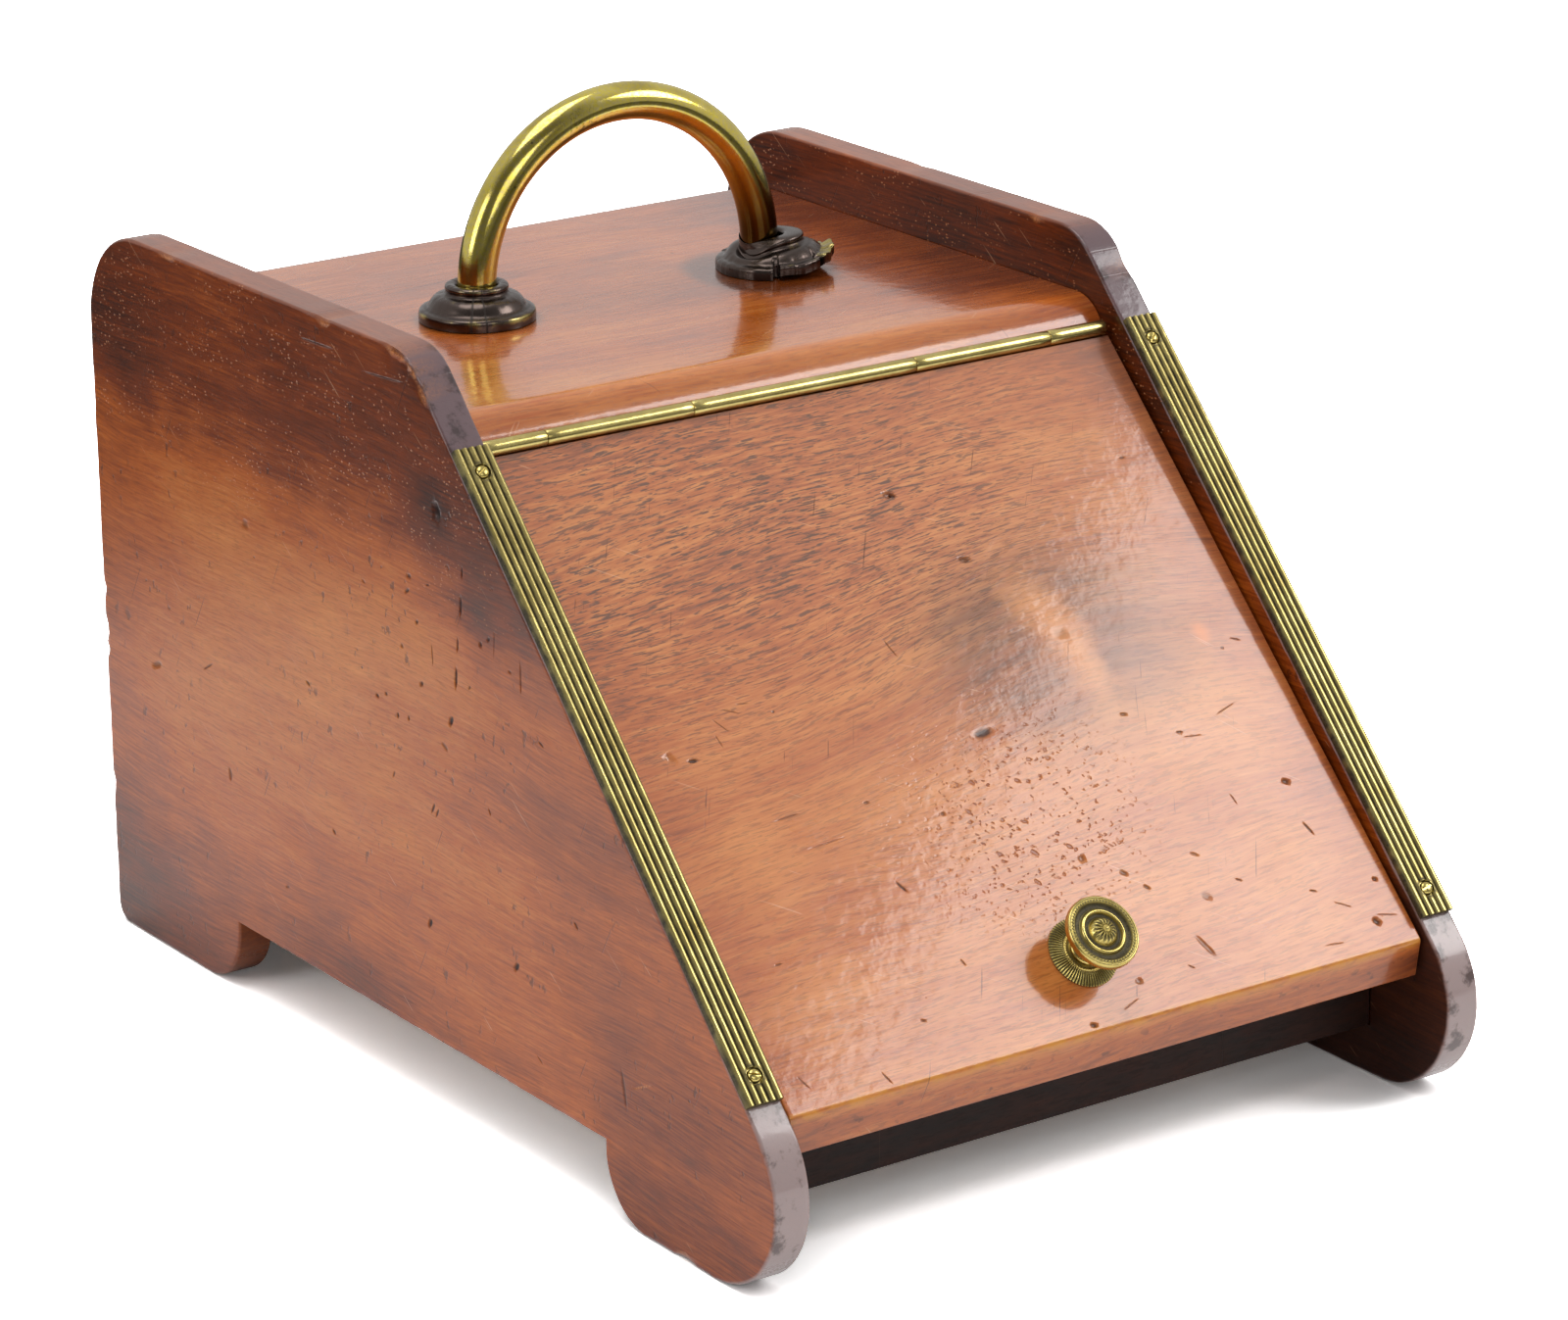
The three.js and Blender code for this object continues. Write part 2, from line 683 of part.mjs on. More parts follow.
const backplateBase = seat;
const knobBase = backplateBase + backplateThickness + seat;
const backplate = turned([
  [knobSpigotRadius + holeClearance, backplateBase],
  [backplateRadius, backplateBase],
  [backplateRadius, backplateBase + backplateThickness * 0.4],
  [backplateRadius * 0.9, backplateBase + backplateThickness * 0.75],
  [backplateRadius * 0.55, backplateBase + backplateThickness],
  [knobSpigotRadius + holeClearance, backplateBase + backplateThickness],
  [knobSpigotRadius + holeClearance, backplateBase],
]);
const knobSpan = knobHeight - knobBase;
const knob = turned([
  [0, -knobSpigotLength],
  [knobSpigotRadius, -knobSpigotLength],
  [knobSpigotRadius, knobBase],
  [knobRadius * 0.46, knobBase],
  [knobRadius * 0.44, knobBase + knobSpan * 0.1],
  [knobWaistRadius, knobBase + knobSpan * 0.3],
  [knobWaistRadius * 1.15, knobBase + knobSpan * 0.42],
  [knobRadius * 0.62, knobBase + knobSpan * 0.58],
  [knobRadius * 0.93, knobBase + knobSpan * 0.66],
  [knobRadius, knobBase + knobSpan * 0.72],
  [knobRadius, knobBase + knobSpan * 0.8],
  [knobRadius * 0.92, knobBase + knobSpan * 0.86],
  [knobRadius * 0.72, knobBase + knobSpan * 0.88],
  [knobRadius * 0.55, knobBase + knobSpan * 0.84],
  [knobRadius * 0.42, knobBase + knobSpan * 0.94],
  [0, knobHeight],
]);
addPart('knob_backplate', backplate, 'brass', lidFrame).position.copy(knobPlace);
addPart('knob', knob, 'brass', lidFrame).position.copy(knobPlace);

// ---------------------------------------------------------------- handle

handleFrame.position.set(0, handleY, topSurfaceHeight);

const handleHalf = handleSpan / 2;
const handlePath = new THREE.CurvePath();
const springZ = handleSpringHeight;
handlePath.add(new THREE.LineCurve3(
  new THREE.Vector3(-handleHalf, 0, seat), new THREE.Vector3(-handleHalf, 0, springZ)));
const bowCurve = new THREE.Curve();
bowCurve.getPoint = (t) => new THREE.Vector3(
  -handleHalf * Math.cos(Math.PI * t), 0, springZ + handleHalf * Math.sin(Math.PI * t));
handlePath.add(bowCurve);
handlePath.add(new THREE.LineCurve3(
  new THREE.Vector3(handleHalf, 0, springZ), new THREE.Vector3(handleHalf, 0, seat)));

const washerTop = -topBoardThickness - seat;
const nutTop = washerTop - washerThickness - seat;
const spigotBottom = nutTop - nutHeight - spigotEnd;
const spigots = sides.map(([, side]) => rod(spigotRadius, spigotBottom, springZ, roundSides / 2)
  .translate(side * handleHalf, 0, 0));
addPart('handle', join([along(handlePath, handleRadius, 40, handleSides), ...spigots]), 'brass', handleFrame);

// Stamped cup: a thin shell, open below, with a collar round the handle's leg.
function handleCup() {
  const collarBore = handleRadius + holeClearance;
  const shoulder = cupHeight * 0.8;
  const bell = [
    [cupRadius * 0.93, cupRimHeight + 1.2],
    [cupRadius * 0.78, cupHeight * 0.52],
    [cupRadius * 0.62, cupHeight * 0.66],
    [cupCollarRadius, shoulder],
  ];
  const inside = bell.map(([radius, height]) => [radius - cupWall * 0.7, height - cupWall]).reverse();
  return turned([
    [cupRadius, 0],
    [cupRadius, cupRimHeight],
    ...bell,
    [cupCollarRadius, cupHeight],
    [collarBore, cupHeight],
    [collarBore, shoulder - cupWall],
    ...inside,
    [cupRadius - cupWall, cupRimHeight - cupWall],
    [cupRadius - cupWall, 0],
    [cupRadius, 0],
  ]);
}

function hexNut() {
  const cornerRadius = nutAcrossFlats / Math.sqrt(3);
  const block = turned([[0, -nutHeight], [cornerRadius, -nutHeight], [cornerRadius, 0], [0, 0]], 6);
  return cut(block, [rod(spigotRadius + holeClearance, -nutHeight - 1, 1, roundSides / 2)]);
}

function washer() {
  const hole = spigotRadius + holeClearance;
  return turned([
    [hole, -washerThickness],
    [washerRadius, -washerThickness],
    [washerRadius, 0],
    [hole, 0],
    [hole, -washerThickness],
  ], roundSides / 2);
}

for (const [label, side] of sides) {
  const x = side * handleHalf;
  addPart(`handle_cup_${label}`, handleCup(), 'agedBrass', handleFrame).position.set(x, 0, seat);
  addPart(`handle_washer_${label}`, washer(), 'steel', handleFrame).position.set(x, 0, washerTop);
  addPart(`handle_nut_${label}`, hexNut(), 'steel', handleFrame).position.set(x, 0, nutTop);
}

// ---------------------------------------------------------------- coal liner

const linerRise = (linerBackHeight - linerFrontHeight) / (linerFront - linerBack);
const rimAngle = Math.atan(linerRise);
const rimHeightAt = (depth) => linerBackHeight - (depth - linerBack) * linerRise;

linerFrame.position.set(0, 0, bottomBoardTop + seat);

function trough(widen, bandOnly) {
  const back = toY(linerBack) + widen;
  const front = toY(linerFront) - widen;
  const low = (depth) => (bandOnly ? rimHeightAt(depth) - rimBand : 0);
  return prism([
    new THREE.Vector2(back, low(linerBack)),
    new THREE.Vector2(front, low(linerFront)),
    new THREE.Vector2(front, rimHeightAt(linerFront)),
    new THREE.Vector2(back, rimHeightAt(linerBack)),
  ], -linerWidth / 2 - widen, linerWidth / 2 + widen);
}

const hollow = prism([
  new THREE.Vector2(toY(linerBack + linerWall), linerWall),
  new THREE.Vector2(toY(linerFront - linerWall), linerWall),
  new THREE.Vector2(toY(linerFront - linerWall), 2 * linerBackHeight),
  new THREE.Vector2(toY(linerBack + linerWall), 2 * linerBackHeight),
], -linerWidth / 2 + linerWall, linerWidth / 2 - linerWall);

const pivotY = toY(bailPivotDepth);
const pivotZ = rimHeightAt(bailPivotDepth) + bailPivotRise;
const rivetDepths = [bailPivotDepth - rivetSpacing / 2, bailPivotDepth + rivetSpacing / 2];
const rivetZ = (depth) => rimHeightAt(depth) - rivetDrop;
const acrossX = new THREE.Vector3(1, 0, 0);
const rivetHoles = rivetDepths.map((depth) => aim(
  rod(rivetShankRadius + holeClearance, -linerWidth, linerWidth),
  new THREE.Vector3(0, toY(depth), rivetZ(depth)), acrossX));

addPart('coal_liner', cut(join([trough(0, false), trough(rimThickness, true)]), [
  hollow,
  ...rivetHoles,
]), 'blackedSteel', linerFrame);

// The ears lie on the rim band, packed out to it below, and carry the bail above the rim.
const earInner = linerWidth / 2 + rimThickness + seat;
const earOuter = earInner + earThickness;
const earFoot = pivotZ - bailPivotRise - earDrop;
const earShoulder = pivotZ - bailPivotRise - earLugRadius;
const earBack = pivotY + earWidth / 2;
const earFront = pivotY - earWidth / 2;
const packingTop = rimHeightAt(bailPivotDepth + earWidth / 2) - rimBand - seat;

function sidePrism(side, outline, fromX, toX) {
  return side > 0 ? prism(outline, fromX, toX) : prism(outline, -toX, -fromX);
}

function ear(side) {
  const plate = roundedOutline([
    [earBack, earFoot, earCornerRadius],
    [earBack, earShoulder, earCornerRadius],
    [earFront, earShoulder, earCornerRadius],
    [earFront, earFoot, earCornerRadius],
  ]);
  const neck = rectangle(pivotY - earLugRadius, earFoot + earCornerRadius, pivotY + earLugRadius, pivotZ);
  const lug = rod(earLugRadius, earInner, earOuter, 2 * smallSides)
    .rotateY((side * Math.PI) / 2).translate(0, pivotY, pivotZ);
  const packing = rectangle(earFront + earCornerRadius, earFoot, earBack - earCornerRadius, packingTop);
  const eye = rod(bailRadius + holeClearance, -linerWidth, linerWidth, 2 * smallSides)
    .rotateY(Math.PI / 2).translate(0, pivotY, pivotZ);
  return cut(join([
    sidePrism(side, plate, earInner, earOuter),
    sidePrism(side, neck, earInner, earOuter),
    lug,
    sidePrism(side, packing, linerWidth / 2 + seat, earInner + earThickness / 2),
  ]), [eye, ...rivetHoles]);
}

function rivet(side) {
  const inside = linerWidth / 2 - linerWall - seat;
  const outside = earOuter + seat;
  return turned([
    [0, inside - rivetHeadHeight],
    [rivetHeadRadius * 0.6, inside - rivetHeadHeight],
    [rivetHeadRadius, inside],
    [rivetShankRadius, inside],
    [rivetShankRadius, outside],
    [rivetHeadRadius, outside],
    [rivetHeadRadius * 0.6, outside + rivetHeadHeight],
    [0, outside + rivetHeadHeight],
  ], smallSides).rotateY((side * Math.PI) / 2);
}

for (const [label, side] of sides) {
  addPart(`liner_ear_${label}`, ear(side), 'blackedSteel', linerFrame);
  rivetDepths.forEach((depth, index) => {
    const mesh = addPart(`liner_rivet_${label}_${index + 1}`, rivet(side), 'steel', linerFrame);
    mesh.position.set(0, toY(depth), rivetZ(depth));
  });
}

// Wire bail: its ends pass in through the ears, and it rests forward across the rims.
const bailLift = bailPivotRise * Math.cos(rimAngle) - bailRadius - seat;
const bailRestDrop = Math.asin(bailLift / bailReach);
bailFrame.position.set(0, pivotY, pivotZ);
bailFrame.rotation.x = rimAngle + bailRestDrop;

const bailEyeCorner = armClearance + bailRadius;
const armX = earOuter + bailEyeCorner;
const hookEnd = earInner - bailHookReach;

function wirePath(corners) {
  const path = new THREE.CurvePath();
  let start = corners[0][0];
  corners.forEach(([corner, radius], index) => {
    if (index === 0) return;
    const next = corners[index + 1];
    if (next === undefined) {
      path.add(new THREE.LineCurve3(start, corner));
      return;
    }
    const towards = corner.clone().sub(corners[index - 1][0]).normalize();
    const away = next[0].clone().sub(corner).normalize();
    const arcStart = corner.clone().addScaledVector(towards, -radius);
    const arcEnd = corner.clone().addScaledVector(away, radius);
    const bend = new THREE.Curve();
    bend.getPoint = (t) => corner.clone()
      .addScaledVector(towards, radius * (Math.sin((Math.PI * t) / 2) - 1))
      .addScaledVector(away, radius * (1 - Math.cos((Math.PI * t) / 2)));
    path.add(new THREE.LineCurve3(start, arcStart));
    path.add(bend);
    start = arcEnd;
  });
  return path;
}

const bailPath = wirePath([
  [new THREE.Vector3(-hookEnd, 0, 0), 0],
  [new THREE.Vector3(-armX, 0, 0), bailEyeCorner],
  [new THREE.Vector3(-armX, -bailReach, 0), bailCorner],
  [new THREE.Vector3(armX, -bailReach, 0), bailCorner],
  [new THREE.Vector3(armX, 0, 0), bailEyeCorner],
  [new THREE.Vector3(hookEnd, 0, 0), 0],
]);
const hookHeads = sides.map(([, side]) => rod(bailHeadRadius, hookEnd - bailHeadHeight, hookEnd)
  .rotateY((side * Math.PI) / 2));
addPart('liner_bail', join([along(bailPath, bailRadius, 80, wireSides), ...hookHeads]), 'steel', bailFrame);

export default scuttle;
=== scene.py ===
"""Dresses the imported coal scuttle: worn mahogany, brass fittings, a pale studio and the photograph's camera.

Shapes are written in millimetres in the row frame and turned to metres as each mesh is made. The front
faces -Y.
"""

from math import acos, asin, atan, atan2, ceil, cos, degrees, dist, exp, hypot, pi, radians, sin, sqrt, tan

import bmesh
import bpy
from mathutils import Matrix, Vector, geometry, noise


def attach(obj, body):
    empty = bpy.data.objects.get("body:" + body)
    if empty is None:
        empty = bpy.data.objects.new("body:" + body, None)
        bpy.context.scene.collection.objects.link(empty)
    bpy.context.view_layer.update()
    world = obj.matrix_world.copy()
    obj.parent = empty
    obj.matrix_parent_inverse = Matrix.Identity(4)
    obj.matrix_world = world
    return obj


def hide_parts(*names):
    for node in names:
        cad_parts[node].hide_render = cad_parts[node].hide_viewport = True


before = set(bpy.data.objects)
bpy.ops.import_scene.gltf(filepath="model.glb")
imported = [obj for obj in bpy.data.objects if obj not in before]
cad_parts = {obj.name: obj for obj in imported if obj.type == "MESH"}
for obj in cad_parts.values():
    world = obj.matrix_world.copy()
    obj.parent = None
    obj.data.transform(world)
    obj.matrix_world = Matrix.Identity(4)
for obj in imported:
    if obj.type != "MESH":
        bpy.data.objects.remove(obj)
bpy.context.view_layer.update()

MM = 0.001

# ---------------------------------------------------------------- sizes in millimetres

HALF_WIDTH, PANEL = 170.0, 16.0
INNER = HALF_WIDTH - PANEL
BACK, PANEL_TOP = 250.0, 311.5
SLOPE = radians(46.45)
LID_ANGLE = radians(44.94)
HINGE = (-29.3, 274.1)
NOSE_Y = BACK - 460.0
SLOPE_TOP_Y = NOSE_Y - (40 - (PANEL_TOP - 40) * cos(SLOPE)) / sin(SLOPE)
SLOPE_FOOT_Y = SLOPE_TOP_Y - PANEL_TOP / tan(SLOPE)
TOP_Z, TOP_UNDERSIDE, HANDLE_Y, HANDLE_X = 285.0, 265.0, 102.0, 70.0
CUP_Z, BOW_Z = 285.3, 296.0
RAIL_FRONT, RAIL_BACK, RAIL_FOOT = BACK - 453.5, BACK - 439.5, 21.0
JOINT_FACE, BARREL_RELIEF = 2.35, 3.85
PLAY = 0.3
BAIL_PIVOT = (20.0, 162.46)

# ---------------------------------------------------------------- mesh helpers


def clamp(value):
    return max(0.0, min(1.0, value))


def cut_up(p, q, pitch):
    """Points from p up to but not with q, no further apart than pitch."""
    parts = max(1, ceil(dist(p, q) / pitch))
    return [(p[0] + (q[0] - p[0]) * k / parts, p[1] + (q[1] - p[1]) * k / parts) for k in range(parts)]


def turned_corner(before, corner, after, radius, step):
    """Points of the arc that rounds one corner of an outline."""
    y, z = corner
    if not radius:
        return [(y, z)]
    back = Vector((before[0] - y, before[1] - z)).normalized()
    onward = Vector((after[0] - y, after[1] - z)).normalized()
    half = acos(max(-1.0, min(1.0, back.dot(onward)))) / 2
    centre = Vector(corner) + (back + onward).normalized() * (radius / sin(half))
    start = Vector(corner) + back * (radius / tan(half)) - centre
    end = Vector(corner) + onward * (radius / tan(half)) - centre
    sweep = atan2(start.x * end.y - start.y * end.x, start.dot(end))
    count = max(2, ceil(abs(sweep) / step))
    points = []
    for k in range(count + 1):
        c, s = cos(sweep * k / count), sin(sweep * k / count)
        points.append((centre.x + start.x * c - start.y * s, centre.y + start.x * s + start.y * c))
    return points


def rounded(corners, step=radians(4), pitch=6.0):
    """Closed outline with rounded corners, its straight runs cut up no longer than pitch."""
    rough = []
    for i, (y, z, radius) in enumerate(corners):
        before, after = corners[i - 1], corners[(i + 1) % len(corners)]
        rough += turned_corner(before[:2], (y, z), after[:2], radius, step)
    return [point for p, q in zip(rough, rough[1:] + rough[:1]) for point in cut_up(p, q, pitch)]


def normals_of(outline):
    """Outward normal at each point, longer at corners so that an inset keeps parallel sides."""
    area = sum(p[0] * q[1] - q[0] * p[1] for p, q in zip(outline, outline[1:] + outline[:1]))
    sign = 1 if area > 0 else -1
    found = []
    for i, p in enumerate(outline):
        a, b = outline[i - 1], outline[(i + 1) % len(outline)]
        e1 = Vector((p[0] - a[0], p[1] - a[1])).normalized()
        e2 = Vector((b[0] - p[0], b[1] - p[1])).normalized()
        n1, n2 = Vector((e1.y, -e1.x)) * sign, Vector((e2.y, -e2.x)) * sign
        n = (n1 + n2).normalized()
        found.append(n / max(0.5, n.dot(n1)))
    return found


def closed_mesh(name, verts, faces, marks):
    """Mesh from millimetre points, its faces turned outwards. marks holds a value per point for each name."""
    mesh = bpy.data.meshes.new(name)
    mesh.from_pydata([(v[0] * MM, v[1] * MM, v[2] * MM) for v in verts], [], faces)
    for key, values in marks.items():
        mesh.attributes.new(key, "FLOAT", "POINT").data.foreach_set("value", values)
    bm = bmesh.new()
    bm.from_mesh(mesh)
    bmesh.ops.recalc_face_normals(bm, faces=bm.faces)
    bm.to_mesh(mesh)
    bm.free()
    return mesh


def in_scene(name, data):
    made = bpy.data.objects.new(name, data)
    bpy.context.scene.collection.objects.link(made)
    return made


def shade_smooth(mesh, angle):
    mesh.polygons.foreach_set("use_smooth", [True] * len(mesh.polygons))
    mesh.set_sharp_from_angle(angle=radians(angle))


def new_piece(name, verts, faces, material, body, nodes, slot, angle, marks=None):
    """Mesh object from millimetre points, shaded smooth up to an angle, riding on its body."""
    mesh = closed_mesh(name, verts, faces, marks or {})
    mesh.materials.append(material)
    shade_smooth(mesh, angle)
    piece = in_scene(name, mesh)
    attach(piece, body)
    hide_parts(*nodes)
    return piece


def weigh(piece):
    """Keeps broad flat faces flat in shading beside small rounded ones."""
    modifier = piece.modifiers.new("normals", "WEIGHTED_NORMAL")
    modifier.mode, modifier.weight, modifier.keep_sharp = "FACE_AREA", 60, True


def helper_mesh(verts, faces):
    """A mesh object for cutting, which is removed again. What it cuts in metal counts as a hollow."""
    return in_scene("cutter", closed_mesh("cutter", verts, faces, {"hollow": [1.0] * len(verts)}))


def cut_with(piece, cutters):
    """Subtracts closed helpers from a piece for good."""
    for cutter in cutters:
        modifier = piece.modifiers.new("cut", "BOOLEAN")
        modifier.operation, modifier.solver, modifier.object = "DIFFERENCE", "EXACT", cutter
    bpy.context.view_layer.update()
    graph = bpy.context.evaluated_depsgraph_get()
    mesh = bpy.data.meshes.new_from_object(piece.evaluated_get(graph), depsgraph=graph)
    piece.modifiers.clear()
    piece.data = mesh
    for cutter in cutters:
        bpy.data.objects.remove(cutter)


def rings_to_faces(count, rings):
    """Quads between closed rings of count points each."""
    faces = []
    for k in range(rings - 1):
        for i in range(count):
            j = (i + 1) % count
            faces.append((k * count + i, k * count + j, (k + 1) * count + j, (k + 1) * count + i))
    return faces


def ends_of(count, rings):
    """The two end faces of a stack of rings."""
    return [tuple(range(count)), tuple(range((rings - 1) * count, rings * count))]


def mark_value(mark, u, v):
    """How deep in a mark a point of the face lies, from 0 to 1."""
    mu, mv, length, width, angle = mark[:5]
    c, s = cos(radians(angle)), sin(radians(angle))
    du, dv = (u - mu) * c + (v - mv) * s, -(u - mu) * s + (v - mv) * c
    t = max(0.0, 1 - hypot(2 * du / length, 2 * dv / width) / 1.22)
    return min(1.0, t * t * (3 - 2 * t) * 2.3)


def mark_points(mark):
    """A fine, slightly uneven grid of points over a mark, reaching a little past its rim."""
    mu, mv, length, width, angle = mark[:5]
    c, s = cos(radians(angle)), sin(radians(angle))
    points, rows, reach = [], 3, 0.62
    columns = max(3, ceil(length * reach / max(width / 3, length / 24)))
    for i in range(-columns, columns + 1):
        for j in range(-rows, rows + 1):
            du = i * length * reach / columns + 0.07 * width * sin(7.1 * j + i)
            dv = j * width * reach / rows + 0.05 * width * cos(5.3 * i + j)
            points.append((mu + du * c - dv * s, mv + du * s + dv * c))
    return points


def marked_face(border, marks, up, within, verts, values, place):
    """Triangles of a flat face, finer at its marks. border is (index, u, v) round it, and up the sense of the
    marks' second number."""
    extra = [(u, up * v) for mark in marks for u, v in mark_points(mark)]
    known_points = [Vector(p[1:]) for p in border]
    coords, _, tris, origin, _, _ = geometry.delaunay_2d_cdt(
        known_points + [Vector(p) for p in extra if within(*p)], [], [list(range(len(border)))], 1, 1e-4)
    index = []
    for (u, v), source in zip(coords, origin):
        known = [k for k in source if k < len(border)]
        if known:
            index.append(border[known[0]][0])
            continue
        depth, dark, pale = 0.0, 0.0, 0.0
        for mark in marks:
            near = mark_value(mark, u, up * v)
            depth += mark[5] * near
            dark = max(dark, mark[6] * near)
            pale = max(pale, sum(mark[7:]) * near)
        verts.append(place(depth, u, v))
        for key, value in zip(values, (dark, pale, 0.0)):
            values[key].append(value)
        index.append(len(verts) - 1)
    return [tuple(index[k] for k in tri) for tri in tris]


def inside(outline, u, v):
    hit = False
    for i, (a, b) in enumerate(outline):
        c, d = outline[i - 1]
        if (b > v) != (d > v) and u < (c - a) * (v - b) / (d - b) + a:
            hit = not hit
    return hit


def board(name, outline, x0, x1, arris, material, nodes, marks0=(), marks1=(), wear=0.0, chips=(), seed=0.0):
    """A board whose outline is drawn in a plane across X, with worn rounded arrises.

    marks0 and marks1 are marks on the faces at x0 and x1. A chip is (u, v, radius, depth, end), and end says
    whether it is in the arris at x0, 0, or the one at x1, 1.
    """
    normals = normals_of(outline)
    count, steps = len(outline), 4
    profile = [(arris * 1.6 + 0.4, 0.0)]
    turns = [pi / 2 * k / steps for k in range(steps + 1)]
    profile += [(arris * (1 - sin(a)), arris * (1 - cos(a))) for a in turns]
    verts, values = [], {"dark": [], "pale": [], "edge": []}

    def ring(end, inset, rise):
        on_arris = inset <= arris * 1.01
        fade = max(0.0, 1 - rise / (arris * 1.01))
        for (u, v), n in zip(outline, normals):
            worn = 1 + wear * noise.noise(Vector((u * 0.06 + seed, v * 0.06, end * 9.0)))
            worn += 0.5 * wear * noise.noise(Vector((u * 0.25 + seed, v * 0.25, end * 9.0 + 3)))
            extra, hurt = 0.0, 0.0
            for cu, cv, radius, depth, where in chips:
                if where == end:
                    near = exp(-(((u - cu) ** 2 + (v - cv) ** 2) / radius ** 2) ** 2)
                    extra += depth * near
                    hurt = max(hurt, near)
            push = inset * max(0.35, worn) + extra * (0.35 + 0.65 * fade if on_arris else 1)
            slide = extra * 0.8 * fade if on_arris else 0.0
            x = x0 + rise + slide if end == 0 else x1 - rise - slide
            verts.append((x, u - n.x * push, v - n.y * push))
            values["dark"].append(0.0)
            values["pale"].append(min(1.0, hurt) if on_arris else 0.0)
            values["edge"].append(clamp(1 - inset / arris))

    for inset, rise in profile:
        ring(0, inset, rise)
    for inset, rise in reversed(profile):
        ring(1, inset, rise)
    rings = 2 * len(profile)
    faces = rings_to_faces(count, rings)
    for end, marks in enumerate((marks0, marks1)):
        base = end * (rings - 1) * count
        if not marks:
            faces.append(tuple(range(base, base + count)))
            continue
        border = [(base + i, *verts[base + i][1:]) for i in range(count)]
        rim = [p[1:] for p in border]
        faces += marked_face(
            border, marks, 1, lambda u, v: inside(rim, u, v), verts, values,
            lambda depth, u, v: (x1 - depth if end else x0 + depth, u, v))
    return new_piece(name, verts, faces, material, "case", nodes, "mahogany", 40, values)


def lathe(profile, sides, warp=None):
    """Closed turned shape about Z from (radius, height) pairs; warp(theta, radius, height) moves a point."""
    verts, faces = [], []
    loop = profile[0] == profile[-1]
    index = []
    for r, z in profile[:-1] if loop else profile:
        if r < 1e-6 and not loop:
            verts.append((0.0, 0.0, z))
            index.append([len(verts) - 1] * sides)
            continue
        row = []
        for i in range(sides):
            a = 2 * pi * i / sides
            rr, zz, aa = warp(a, r, z) if warp else (r, z, a)
            verts.append((rr * cos(aa), rr * sin(aa), zz))
            row.append(len(verts) - 1)
        index.append(row)
    for a, b in zip(index, index[1:] + (index[:1] if loop else [])):
        for i in range(sides):
            j = (i + 1) % sides
            face = tuple(dict.fromkeys((a[i], a[j], b[j], b[i])))
            if len(face) > 2:
                faces.append(face)
    return verts, faces


def smooth_profile(points, parts=3):
    """Curve through (radius, height) pairs; a pair given twice in a row keeps its corner."""
    out = []
    for i, (p1, p2) in enumerate(zip(points, points[1:])):
        if p1 == p2:
            continue
        p0 = points[i - 1] if i else p1
        p3 = points[i + 2] if i + 2 < len(points) else p2
        for t in (k / parts for k in range(parts)):
            out.append(tuple(0.5 * (
                2 * b + (c - a) * t + (2 * a - 5 * b + 4 * c - d) * t * t + (3 * b - a - 3 * c + d) * t ** 3)
                for a, b, c, d in zip(p0, p1, p2, p3)))
    out.append(points[-1])
    return [(max(0.0, r), z) for r, z in out]


def tube(path, radius, sides, wobble=0.0):
    """Round bar along a list of points, with flat ends."""
    verts = []
    count = len(path)
    neighbours = zip(path[:1] + path[:-1], path[1:] + path[-1:])
    tangent = [(Vector(after) - Vector(before)).normalized() for before, after in neighbours]
    side = tangent[0].orthogonal().normalized()
    for i, p in enumerate(path):
        if i:
            side = (tangent[i - 1].rotation_difference(tangent[i]) @ side).normalized()
        other = tangent[i].cross(side)
        r = radius * (1 + wobble * noise.noise(Vector(p) * 0.03))
        for a in (2 * pi * k / sides for k in range(sides)):
            verts.append(tuple(Vector(p) + (side * cos(a) + other * sin(a)) * r))
    return verts, rings_to_faces(sides, count) + ends_of(sides, count)


def box_shape(x0, x1, y0, y1, z0, z1):
    verts = [(x, y, z) for x in (x0, x1) for y in (y0, y1) for z in (z0, z1)]
    return verts, [(0, 1, 3, 2), (4, 6, 7, 5), (0, 4, 5, 1), (2, 3, 7, 6), (0, 2, 6, 4), (1, 5, 7, 3)]


def merged(*shapes):
    verts, faces = [], []
    for v, f in shapes:
        base = len(verts)
        verts += v
        faces += [tuple(i + base for i in face) for face in f]
    return verts, faces


def moved(shape, place):
    return [place(*v) for v in shape[0]], shape[1]


def at_hinge(x, y, z):
    """From the hinge frame, -Y down the lid and +Z out of it, to the row frame."""
    c, s = cos(LID_ANGLE), sin(LID_ANGLE)
    return (x, HINGE[0] + y * c - z * s, HINGE[1] + y * s + z * c)


def at_slope(x, y, z):
    """From the frame of the panels' sloping edge, -Y down it, to the row frame."""
    c, s = cos(SLOPE), sin(SLOPE)
    return (x, SLOPE_TOP_Y + y * c - z * s, PANEL_TOP + y * s + z * c)


def at_knob(x, y, z):
    return at_hinge(x, y - 259, z - 0.5)


def at_leg(side):
    """Moves a turned shape about Z to one leg of the handle."""
    return lambda x, y, z: (x + side * HANDLE_X, y + HANDLE_Y, z)


def below_lid(y):
    """Height of the lid's underside, with its play, at a place along Y."""
    return HINGE[1] - (HINGE[0] - y) * tan(LID_ANGLE) - 14.8 / cos(LID_ANGLE)


# ---------------------------------------------------------------- material helpers


def srgb(r, g, b):
    def line(c):
        c /= 255
        return c / 12.92 if c <= 0.04045 else ((c + 0.055) / 1.055) ** 2.4

    return (line(r), line(g), line(b), 1.0)


